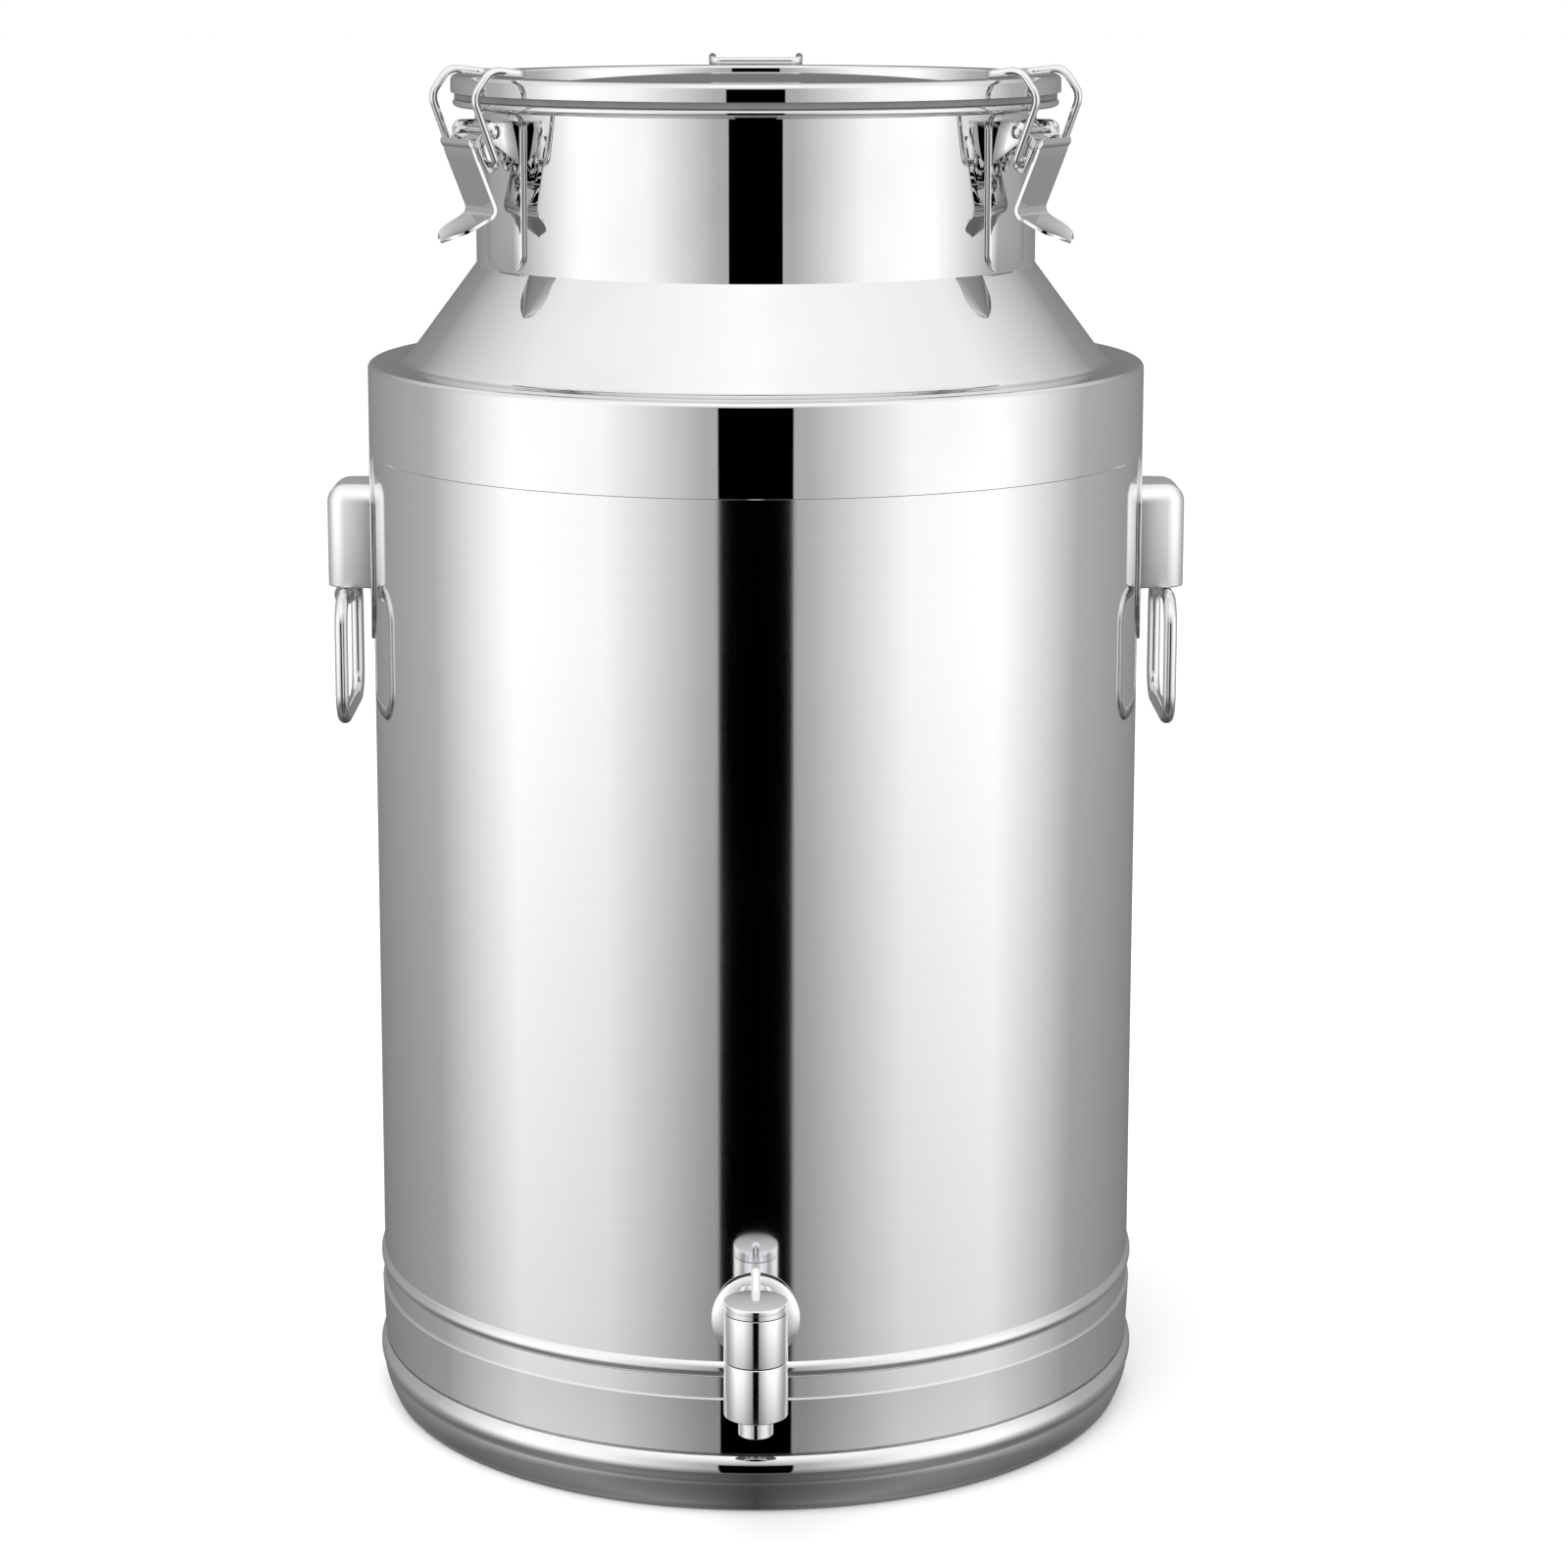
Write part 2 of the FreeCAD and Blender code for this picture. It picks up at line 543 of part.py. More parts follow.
def handle_plate(side, spin):
    """The doubler plate, rolled to the barrel, with rounded ends."""
    body = new_body(f"handle_{side}_plate", spin)
    front = "body_radius + plate_sheet"
    low = "plate_low"
    high = "plate_high"
    half = "plate_half"
    bend = "plate_round"
    shape = [(f"{bend} - {half}", low), (f"{half} - {bend}", low), (half, f"{low} + {bend}"),
             (half, f"{high} - {bend}"), (f"{half} - {bend}", high), (f"{bend} - {half}", high),
             (f"-{half}", f"{high} - {bend}"), (f"-{half}", f"{low} + {bend}")]
    sketch = outline(body, "YZ", shape, {1: bend, 3: bend, 5: bend, 7: bend})
    sketch.setExpression("AttachmentOffset.Base.z", tied("body_radius - lap"))
    padded(body, sketch, "2 * lap", one_side=True)
    inside = [("0", f"{low} - lap"), ("body_radius", f"{low} - lap"),
              ("body_radius", f"{high} + lap"), ("0", f"{high} + lap")]
    turned(body, outline(body, "XZ", inside), cut=True)
    outside = [(front, f"{low} - lap"), (f"{front} + 3 * lap", f"{low} - lap"),
               (f"{front} + 3 * lap", f"{high} + lap"), (front, f"{high} + lap")]
    turned(body, outline(body, "XZ", outside), cut=True)


def handle_bracket(side, spin):
    """The drawn box bracket, open to the barrel, with two eyes round the ring's bar."""
    body = new_body(f"handle_{side}_bracket", spin)
    back = "body_radius + plate_sheet"
    front = f"{back} + pocket_depth"
    box = [(f"{back} - wall", "pocket_low"), (front, "pocket_low"), (front, "pocket_high"),
           (f"{back} - wall", "pocket_high")]
    padded(body, outline(body, "XZ", box), "2 * pocket_half")
    face = size(front)
    low = size("pocket_low")

    def outer_edge(edge):
        box = edge.BoundBox
        on_front = box.XMin > face - 0.01
        return on_front and box.ZMax > low + 0.01

    rounded(body, outer_edge, "pocket_round")
    inside = [(f"{back} - 2 * wall", "pocket_low + pocket_sheet"),
              (f"{front} - pocket_sheet", "pocket_low + pocket_sheet"),
              (f"{front} - pocket_sheet", "pocket_high - pocket_sheet"),
              (f"{back} - 2 * wall", "pocket_high - pocket_sheet")]
    padded(body, outline(body, "XZ", inside), "2 * (pocket_half - pocket_sheet)", cut=True)
    seat = [("0", "pocket_low - lap"), (back, "pocket_low - lap"),
            (back, "pocket_high + lap"), ("0", "pocket_high + lap")]
    turned(body, outline(body, "XZ", seat), cut=True)
    eye = circles(body, "XZ", [(RING_X, "ring_height", "rod_radius + eye_sheet"),
                               (RING_X, "ring_height", "rod_radius + running")])
    padded(body, eye, "2 * eye_outer")
    reach = "rod_radius + eye_sheet + running"
    gap = [(f"{RING_X} - {reach}", f"ring_height - {reach}"),
           (f"{RING_X} + {reach}", f"ring_height - {reach}"),
           (f"{RING_X} + {reach}", "pocket_low"), (f"{RING_X} - {reach}", "pocket_low")]
    padded(body, outline(body, "XZ", gap), "2 * eye_inner", cut=True)
    bore = circles(body, "XZ", [(RING_X, "ring_height", "rod_radius + running")])
    padded(body, bore, "3 * eye_outer", cut=True)


def handle_ring(side, spin):
    """The closed carrying ring of round rod, whose top bar turns in the bracket's eyes."""
    x = size(RING_X)
    top = size("ring_height")
    low = top - size("ring_drop")
    half = size("ring_half")
    bend = size("ring_corner")
    middle = FreeCAD.Vector(x, 0, top)
    corners = [middle, FreeCAD.Vector(x, half, top), FreeCAD.Vector(x, half, low),
               FreeCAD.Vector(x, -half, low), FreeCAD.Vector(x, -half, top), middle]
    piece = doc.addObject("Part::Feature", f"handle_{side}_ring")
    piece.Label = piece.Name
    piece.Shape = bent_wire(corners, [bend] * 4, size("rod_radius"))
    turn = FreeCAD.Rotation(FreeCAD.Vector(0, 0, 1), spin)
    piece.Placement = FreeCAD.Placement(FreeCAD.Vector(), turn)
    nodes.append(piece)


# ---------------------------------------------------------------- tap


def across(name, rings, start, finish):
    """A round piece along the local X axis at the tap's height, from start to finish."""
    body = new_body(name, TAP_PLACE)
    sketch = circles(body, "YZ", [("0", "tap_height", radius) for radius in rings])
    sketch.setExpression("AttachmentOffset.Base.z", tied(start))
    padded(body, sketch, f"({finish}) - ({start})", one_side=True)
    return body


def tap_rosette():
    """The round flange that covers the hole in the barrel."""
    body = across("tap_rosette", ["rosette_radius", "shank_radius + hole_clearance"],
                  ROSETTE_BACK, ROSETTE_FRONT)
    rim = size("rosette_radius")
    front = size(ROSETTE_FRONT)

    def face_rim(edge):
        round_edge = isinstance(edge.Curve, Part.Circle) and abs(edge.Curve.Radius - rim) < 0.01
        return round_edge and edge.BoundBox.XMax > front - 0.01

    rounded(body, face_rim, "rosette_round")


def tap_outer_seal():
    """The rubber washer under the rosette, hollowed to the barrel's curve."""
    body = across("tap_outer_seal", ["seal_radius", "shank_radius + hole_clearance"],
                  "(body_radius - lap)", ROSETTE_BACK)
    core = [("0", "tap_height - 2 * seal_radius"), ("body_radius", "tap_height - 2 * seal_radius"),
            ("body_radius", "tap_height + 2 * seal_radius"), ("0", "tap_height + 2 * seal_radius")]
    turned(body, outline(body, "XZ", core), cut=True)


def tap_inner_seal():
    """The rubber washer inside the barrel, cut to the wall's inner curve."""
    face = "(body_radius - wall)"
    flat = f"({face} - inner_seal_sheet - inner_seal_radius ^ 2 / body_radius / 2)"
    body = across("tap_inner_seal", ["inner_seal_radius", "shank_radius + hole_clearance"],
                  flat, "body_radius")
    low = "tap_height - 2 * inner_seal_radius"
    high = "tap_height + 2 * inner_seal_radius"
    outside = [(face, low), ("body_radius + lap", low), ("body_radius + lap", high), (face, high)]
    turned(body, outline(body, "XZ", outside), cut=True)


def tap_locknut():
    """The hexagon nut that draws the shank up against the inner seal."""
    body = new_body("tap_locknut", TAP_PLACE)
    seat = "(body_radius - wall - inner_seal_sheet - inner_seal_radius ^ 2 / body_radius / 2)"
    side = "nut_flats / 2 / cos(30)"
    points = [(f"{side} * cos({60 * n})", f"tap_height + {side} * sin({60 * n})")
              for n in range(6)]
    sketch = outline(body, "YZ", points)
    sketch.setExpression("AttachmentOffset.Base.z", tied(f"{seat} - nut_thick"))
    padded(body, sketch, "nut_thick", one_side=True)
    bore = circles(body, "YZ", [("0", "tap_height", "shank_radius + running")])
    padded(body, bore, "3 * body_radius", cut=True)


def along_inlet(body, radius, start, finish, cut=False):
    """Adds or cuts a round length along the inlet, from one distance out to another."""
    sketch = circles(body, "YZ", [("0", "tap_height", radius)])
    sketch.setExpression("AttachmentOffset.Base.z", tied(start))
    feature = padded(body, sketch, f"({finish}) - ({start})", cut=cut, one_side=True)
    feature.Reversed = cut
    doc.recompute()


def down_tap(body, radius, start, finish, cut=False):
    """Adds or cuts a round length along the tap's upright axis, from one height to another."""
    sketch = circles(body, "XY", [(TAP_X, "0", radius)])
    sketch.setExpression("AttachmentOffset.Base.z", tied(start))
    feature = padded(body, sketch, f"({finish}) - ({start})", cut=cut, one_side=True)
    feature.Reversed = cut
    doc.recompute()


def tap_body():
    """The tap's fixed body: the upright chamber, the inlet, a collar and the threaded shank."""
    body = new_body("tap_body", TAP_PLACE)
    shank_end = "(body_radius - shank_inside - lap)"
    ceiling = "(knob_foot - knob_gap)"
    down_tap(body, "tap_radius", "tap_split + split_gap", ceiling)
    down_tap(body, "thread_radius", "thread_low", "(tap_split + split_gap)")
    along_inlet(body, "shank_radius", shank_end, ROSETTE_FRONT)
    along_inlet(body, "collar_radius", ROSETTE_FRONT, f"({ROSETTE_FRONT} + collar_length)")
    along_inlet(body, "inlet_radius", ROSETTE_FRONT, TAP_X)
    down_tap(body, "core_radius + core_clearance", "chamber_low", "tap_top", cut=True)
    down_tap(body, "spigot_radius", "(thread_low - 1)", "(chamber_low + 1)", cut=True)
    along_inlet(body, "port_radius", f"({shank_end} - 1)", TAP_X, cut=True)


def tap_turned(name, profile):
    """A piece turned about the tap's upright axis, drawn at the origin and moved out to it."""
    shift = FreeCAD.Vector(0, -size(TAP_X), 0)
    body = new_body(name, TAP_PLACE, shift)
    body.setExpression("Placement.Base.y", tied(f"-{TAP_X}"))
    turned(body, outline(body, "XZ", profile))
    return body


def tap_outlet():
    """The outlet sleeve, screwed up over the body's threaded spigot."""
    thread = "thread_radius"
    profile = [("spigot_radius", "tap_foot"), ("tap_radius", "tap_foot"),
               ("tap_radius", "tap_split"), (thread, "tap_split"), (thread, "thread_low"),
               ("spigot_radius", "thread_low")]
    body = tap_turned("tap_outlet", profile)
    rounded(body, hoop("tap_radius", "tap_foot"), "cap_round")


def tap_nozzle():
    """The outlet nozzle, spigoted into the sleeve's underside."""
    spigot = "spigot_radius"
    profile = [("nozzle_bore", "tap_foot - nozzle_length"),
               ("nozzle_radius", "tap_foot - nozzle_length"), ("nozzle_radius", "tap_foot"),
               (spigot, "tap_foot"), (spigot, "tap_foot + nozzle_spigot"),
               ("nozzle_bore", "tap_foot + nozzle_spigot")]
    tap_turned("tap_nozzle", profile)


def rod_profile(body):
    """Half of the lever rod's section, leaning back at 45 degrees, with its axis as a guide line."""
    back = "lever_tip_back - lever_root_back"
    root_x = "-lever_root_back"
    root_z = f"tap_top + lever_tip_rise - ({back})"
    tip_x = "-lever_tip_back"
    tip_z = "tap_top + lever_tip_rise"
    off = "lever_rod * sqrt(0.5)"
    points = [(root_x, root_z), (tip_x, tip_z), (f"{tip_x} + {off}", f"{tip_z} + {off}"),
              (f"{root_x} + {off}", f"{root_z} + {off}")]
    sketch = outline(body, "XZ", points)
    start = FreeCAD.Vector(size(root_x), size(root_z), 0)
    finish = FreeCAD.Vector(size(tip_x), size(tip_z), 0)
    guide = sketch.addGeometry(Part.LineSegment(start, finish), True)
    for end in (1, 2):
        sketch.addConstraint(Sketcher.Constraint("Coincident", guide, end, 0, end))
    return sketch


def turned_about_guide(body, sketch, cut=False):
    """The sketch turned all round about its own guide line."""
    feature = turned(body, sketch, cut=cut)
    feature.ReferenceAxis = (sketch, ["Axis0"])
    doc.recompute()


def tap_knob():
    """The turning knob, with a fine line round its edge and a socket for the valve core."""
    line = "tap_top - line_drop"
    socket = "knob_foot + key_rise"
    profile = [("spigot_radius", "knob_foot"), ("tap_radius", "knob_foot"),
               ("tap_radius", f"{line} - 0.5"), ("tap_radius - line_depth", f"{line} - 0.3"),
               ("tap_radius - line_depth", f"{line} + 0.3"), ("tap_radius", f"{line} + 0.5"),
               ("tap_radius", "tap_top"), ("0", "tap_top"), ("0", socket),
               ("spigot_radius", socket)]
    body = tap_turned("tap_knob", profile)
    rounded(body, hoop("tap_radius", "tap_top"), "cap_round")
    turned_about_guide(body, rod_profile(body), cut=True)


def tap_lever():
    """The slim lever rod, set into the back of the knob, with a rounded tip."""
    shift = FreeCAD.Vector(0, -size(TAP_X), 0)
    body = new_body("tap_lever", TAP_PLACE, shift)
    body.setExpression("Placement.Base.y", tied(f"-{TAP_X}"))
    turned_about_guide(body, rod_profile(body))
    top = size("tap_top")
    rounded(body, lambda edge: edge.BoundBox.ZMin > top and edge.Closed, "lever_rod * 0.9")


def tap_valve_core():
    """The ported core: turned by the knob, grooved for its two O-rings."""
    low = "chamber_low + core_end_gap"
    groove = "core_radius - 2 * oring_radius - running"
    profile = [("0", low), ("core_radius", low)]
    for height in ("oring_low", "oring_high"):
        profile.append(("core_radius", f"{height} - oring_radius"))
        profile.append((groove, f"{height} - oring_radius"))
        profile.append((groove, f"{height} + oring_radius"))
        profile.append(("core_radius", f"{height} + oring_radius"))
    profile += [("core_radius", "knob_foot"), ("spigot_radius", "knob_foot"),
                ("spigot_radius", "knob_foot + key_rise"), ("0", "knob_foot + key_rise")]
    body = tap_turned("tap_valve_core", profile)
    port = circles(body, "YZ", [("0", "tap_height", "port_radius * 0.8")])
    padded(body, port, "3 * core_radius", cut=True)
    drain = circles(body, "XY", [("0", "0", "port_radius * 0.8")])
    drain.setExpression("AttachmentOffset.Base.z", tied("chamber_low"))
    way = padded(body, drain, "tap_height - chamber_low", cut=True, one_side=True)
    way.Reversed = True
    doc.recompute()


def tap_orings():
    """Two O-rings in the core's grooves."""
    for name, height in (("lower", "oring_low"), ("upper", "oring_high")):
        shift = FreeCAD.Vector(0, -size(TAP_X), 0)
        body = new_body(f"tap_{name}_oring", TAP_PLACE, shift)
        body.setExpression("Placement.Base.y", tied(f"-{TAP_X}"))
        ring = circles(body, "XZ", [("core_radius - oring_radius", height, "oring_radius")])
        turned(body, ring)


def main():
    """Draws every piece, checks it and writes one STEP file for each."""
    fill_sheet()
    barrel_shell()
    shoulder_shell()
    shoulder_cone()
    neck_ring()
    mouth_ring()
    bottom_plate()
    foot_ring()
    lid_shell()
    lid_gasket()
    for side, spin in LATCH_PLACES.items():
        latch_base(side, spin)
        latch_pin(side, spin)
        latch_lever(side, spin)
        latch_bail(side, spin)
    for side, spin in HANDLE_PLACES.items():
        handle_plate(side, spin)
        handle_bracket(side, spin)
        handle_ring(side, spin)
    tap_rosette()
    tap_outer_seal()
    tap_inner_seal()
    tap_locknut()
    tap_body()
    tap_outlet()
    tap_nozzle()
    tap_knob()
    tap_lever()
    tap_valve_core()
    tap_orings()
    doc.recompute()
    for thing in doc.Objects:
        if "Invalid" in thing.State or "Error" in thing.State:
            raise ValueError(f"{thing.Name} did not build")
    os.makedirs("parts", exist_ok=True)
    for piece in nodes:
        shape = piece.Shape
        if shape.isNull() or not shape.isValid() or not shape.Solids:
            raise ValueError(f"{piece.Label} has no valid shape")
        shape.exportStep(f"parts/{piece.Label}.step")


main()
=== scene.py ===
"""The milk can's finish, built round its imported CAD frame, laid out as an add-on."""
import json
import math

import bpy
from mathutils import Matrix, Vector


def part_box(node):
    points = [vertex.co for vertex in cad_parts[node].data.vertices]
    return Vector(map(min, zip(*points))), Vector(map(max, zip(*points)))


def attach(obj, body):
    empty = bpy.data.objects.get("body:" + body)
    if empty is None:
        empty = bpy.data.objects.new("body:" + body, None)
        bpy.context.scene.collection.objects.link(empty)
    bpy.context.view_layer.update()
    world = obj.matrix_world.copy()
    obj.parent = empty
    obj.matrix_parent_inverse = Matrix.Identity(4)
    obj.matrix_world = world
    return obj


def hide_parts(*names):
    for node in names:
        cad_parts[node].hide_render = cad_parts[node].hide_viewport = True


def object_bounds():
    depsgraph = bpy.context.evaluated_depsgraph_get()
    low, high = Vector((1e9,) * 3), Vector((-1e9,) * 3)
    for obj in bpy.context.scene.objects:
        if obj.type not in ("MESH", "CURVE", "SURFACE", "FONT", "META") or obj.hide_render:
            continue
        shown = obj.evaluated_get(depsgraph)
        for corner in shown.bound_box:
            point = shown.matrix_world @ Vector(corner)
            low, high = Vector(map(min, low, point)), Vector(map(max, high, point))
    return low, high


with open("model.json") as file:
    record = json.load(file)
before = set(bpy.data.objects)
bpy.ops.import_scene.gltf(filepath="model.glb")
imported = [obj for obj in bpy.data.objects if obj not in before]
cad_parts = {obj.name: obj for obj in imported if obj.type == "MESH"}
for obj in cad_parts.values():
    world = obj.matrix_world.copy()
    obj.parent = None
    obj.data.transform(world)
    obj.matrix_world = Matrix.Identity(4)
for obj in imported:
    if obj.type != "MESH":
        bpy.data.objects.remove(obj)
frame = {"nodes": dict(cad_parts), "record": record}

bl_info = {
    "name": "Milk can",
    "version": (1, 0, 0),
    "blender": (4, 5, 0),
    "location": "View3D > Sidebar > Milk can",
    "description": "Builds a stainless steel milk can, its finishes and a small studio",
    "category": "Object",
}

MM = 0.001
TURN = 2 * math.pi
DOUBLED = 1e-7
BODY_RADIUS = 190 * MM
NECK_RADIUS = 137.2 * MM
CAD_LOW, CAD_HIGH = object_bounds()
LATCH_SIDES = {"left": -150, "right": -30, "rear": 90}
HANDLE_SIDES = {"left": 180, "right": 0}
TAP_SPIN = -90


def height_range(node):
    """A node's lowest and highest points along Z."""
    low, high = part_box(node)
    return low[2], high[2]


def outer_radius(node):
    """Half a round node's width across X."""
    low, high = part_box(node)
    return (high[0] - low[0]) / 2


# ---------------------------------------------------------------- settings


def length(name, value, text):
    """A length in metres that a user may change."""
    return bpy.props.FloatProperty(name=name, default=value, unit="LENGTH", description=text)


def tone(name, value, text):
    """A colour that a user may change."""
    return bpy.props.FloatVectorProperty(name=name, default=value, size=3, subtype="COLOR",
                                         min=0.0, max=1.0, description=text)


def amount(name, value, text):
    """A plain number from 0 to 1 that a user may change."""
    return bpy.props.FloatProperty(name=name, default=value, min=0.0, max=1.0,
                                   subtype="FACTOR", description=text)


class MilkCanSizes(bpy.types.PropertyGroup):
    """Sizes of the vessel's sheet and of its edges."""
    wall: length("Wall", 1.2 * MM, "Thickness of the sheet")
    body_radius: length("Body radius", BODY_RADIUS, "Outer radius of the barrel")
    seam_height: length("Seam", height_range("shoulder_shell")[0], "Lower edge of the band")
    ledge_height: length("Ledge", 525 * MM, "Height of the flat ledge round the shoulder")
    ledge_radius: length("Ledge radius", 173 * MM, "Radius at which the cone starts")
    neck_foot: length("Neck foot", height_range("neck_ring")[0], "Height of the cone's top")
    neck_radius: length("Neck radius", NECK_RADIUS, "Outer radius of the neck")
    mouth: length("Mouth", height_range("neck_ring")[1], "Height of the mouth flange")
    lid_radius: length("Lid radius", outer_radius("lid_shell"), "Outer radius of the lid")
    edge_round: length("Edge round", 3 * MM, "Radius of the shoulder's edge")


class MilkCanFinish(bpy.types.PropertyGroup):
    """Colours and polish of each finish."""
    satin: tone("Satin steel", (0.80, 0.803, 0.82), "Colour of the brushed barrel")
    satin_rough: amount("Satin roughness", 0.07, "Roughness of the brushed barrel")
    polished: tone("Polished steel", (0.80, 0.80, 0.805), "Colour of the polished sheet")
    polished_rough: amount("Polished roughness", 0.012, "Roughness of the polished sheet")
    chrome: tone("Chrome", (0.96, 0.96, 0.965), "Colour of the tap's plating")
    chrome_rough: amount("Chrome roughness", 0.10, "Roughness of the tap's plating")
    drawn_rough: amount("Drawn roughness", 0.30, "Roughness of the drawn handle brackets")
    # The seals' dark grey is partly painted shade: it stands in for the shade in the groove between
    # the lid and the mouth.
    silicone: tone("Silicone", (0.17, 0.172, 0.175), "Colour of the seals")


# ---------------------------------------------------------------- shader groups


def socket(group, name, kind, way, value=None):
    """Adds one named socket to a node group."""
    made = group.interface.new_socket(name=name, in_out=way, socket_type=kind)
    if value is not None:
        made.default_value = value


def link(tree, source, target):
    """Joins two sockets."""
    tree.links.new(source, target)


def maths(tree, operation, first, second=None):
    """A Math node fed by sockets or numbers; gives its output."""
    node = tree.nodes.new("ShaderNodeMath")
    node.operation = operation
    for index, value in enumerate((first, second)):
        if value is None:
            continue
        if isinstance(value, (int, float)):
            node.inputs[index].default_value = value
        else:
            link(tree, value, node.inputs[index])
    return node.outputs[0]


def noise(tree, vector, scale, detail=3.0):
    """A Noise Texture on a vector; gives its factor."""
    node = tree.nodes.new("ShaderNodeTexNoise")
    node.inputs["Scale"].default_value = scale
    node.inputs["Detail"].default_value = detail
    node.inputs["Roughness"].default_value = 0.55
    link(tree, vector, node.inputs["Vector"])
    return node.outputs["Fac"]


def remap(tree, value, low, high, new_low, new_high):
    """A Map Range node; gives its result."""
    node = tree.nodes.new("ShaderNodeMapRange")
    for name, number in (("From Min", low), ("From Max", high),
                         ("To Min", new_low), ("To Max", new_high)):
        node.inputs[name].default_value = number
    link(tree, value, node.inputs["Value"])
    return node.outputs["Result"]


def stretched(tree, vector, scale):
    """The vector scaled by its own factor along each axis."""
    node = tree.nodes.new("ShaderNodeVectorMath")
    node.operation = "MULTIPLY"
    node.inputs[1].default_value = scale
    link(tree, vector, node.inputs[0])
    return node.outputs[0]


def new_group(name, inputs, outputs):
    """An empty node group with its named sockets and its two end nodes."""
    group = bpy.data.node_groups.new(name, "ShaderNodeTree")
    for label, kind, value in inputs:
        socket(group, label, kind, "INPUT", value)
    for label, kind in outputs:
        socket(group, label, kind, "OUTPUT")
    return group, group.nodes.new("NodeGroupInput"), group.nodes.new("NodeGroupOutput")


def brushing_group():
    """Fine level scratches round an upright shell, as height and as a change of tone."""
    group, given, result = new_group(
        "Brushing",
        [("Vector", "NodeSocketVector", None), ("Fine", "NodeSocketFloat", 1.0)],
        [("Height", "NodeSocketFloat"), ("Tone", "NodeSocketFloat")])
    fine = noise(group, stretched(group, given.outputs["Vector"], (3, 3, 2600)), 1.0, 3.0)
    broad = noise(group, stretched(group, given.outputs["Vector"], (2, 2, 420)), 1.0, 2.0)
    grain = maths(group, "ADD", maths(group, "MULTIPLY", fine, given.outputs["Fine"]),
                  maths(group, "MULTIPLY", broad, 0.5))
    link(group, grain, result.inputs["Height"])
    link(group, remap(group, grain, 0.5, 1.0, 0.0, 1.0), result.inputs["Tone"])
    return group


def handling_group():
    """Soft smears and faint hairlines, as masks for roughness and bump."""
    group, given, result = new_group(
        "Handling marks",
        [("Vector", "NodeSocketVector", None), ("Smear scale", "NodeSocketFloat", 14.0)],
        [("Smears", "NodeSocketFloat"), ("Hairlines", "NodeSocketFloat"),
         ("Waves", "NodeSocketFloat")])
    cloud = group.nodes.new("ShaderNodeTexNoise")
    cloud.inputs["Detail"].default_value = 5.0
    link(group, given.outputs["Vector"], cloud.inputs["Vector"])
    link(group, given.outputs["Smear scale"], cloud.inputs["Scale"])
    link(group, remap(group, cloud.outputs["Fac"], 0.45, 0.75, 0.0, 1.0),
         result.inputs["Smears"])
    hair = noise(group, stretched(group, given.outputs["Vector"], (90, 260, 1900)), 1.0, 2.0)
    link(group, remap(group, hair, 0.66, 0.72, 0.0, 1.0), result.inputs["Hairlines"])
    wave = noise(group, given.outputs["Vector"], 9.0, 1.0)
    link(group, wave, result.inputs["Waves"])
    return group


# ---------------------------------------------------------------- materials


def start_material(name, colour, metallic, rough):
    """A material with one Principled shader; gives the material, its tree and that shader."""
    material = bpy.data.materials.new("can_" + name)
    material.use_nodes = True
    tree = material.node_tree
    shader = tree.nodes["Principled BSDF"]
    shader.inputs["Base Color"].default_value = (*colour, 1)
    shader.inputs["Metallic"].default_value = metallic
    shader.inputs["Roughness"].default_value = rough
    material.diffuse_color = (*colour, 1)
    return material, tree, shader


def place_group(tree, group, **values):
    """One use of a node group on Object coordinates."""
    node = tree.nodes.new("ShaderNodeGroup")
    node.node_tree = group
    where = tree.nodes.new("ShaderNodeTexCoord")
    link(tree, where.outputs["Object"], node.inputs["Vector"])
    for name, value in values.items():
        node.inputs[name.replace("_", " ")].default_value = value
    return node


def tinted(tree, shader, mask, dark, light):
    """Feeds Base Color with a mix of two colours by a mask."""
    mix = tree.nodes.new("ShaderNodeMix")
    mix.data_type = "RGBA"
    mix.inputs["A"].default_value = (*dark, 1)
    mix.inputs["B"].default_value = (*light, 1)
    link(tree, mask, mix.inputs["Factor"])
    link(tree, mix.outputs["Result"], shader.inputs["Base Color"])


def bumped(tree, shader, height, strength, distance):
    """Feeds Normal with a Bump node."""
    bump = tree.nodes.new("ShaderNodeBump")
    bump.inputs["Strength"].default_value = strength
    bump.inputs["Distance"].default_value = distance
    link(tree, height, bump.inputs["Height"])
    link(tree, bump.outputs["Normal"], shader.inputs["Normal"])


def scaled(colour, factor):
    """A colour made darker or lighter."""
    return tuple(min(1.0, part * factor) for part in colour)


def satin_steel(finish, groups):
    """The barrel: fine scratches run round the can, so its reflections spread up and down."""
    material, tree, shader = start_material("satin_steel", finish.satin, 1.0, finish.satin_rough)
    brushing = place_group(tree, groups["brushing"], Fine=1.0)
    marks = place_group(tree, groups["handling"], Smear_scale=7.0)
    tinted(tree, shader, brushing.outputs["Tone"], scaled(finish.satin, 0.985),
           scaled(finish.satin, 1.012))
    rough = maths(tree, "ADD", remap(tree, brushing.outputs["Tone"], 0.0, 1.0,
                                     finish.satin_rough * 0.94, finish.satin_rough * 1.06),
                  maths(tree, "MULTIPLY", marks.outputs["Smears"], 0.02))
    link(tree, rough, shader.inputs["Roughness"])
    bumped(tree, shader, brushing.outputs["Height"], 0.05, 0.00002)
    return material


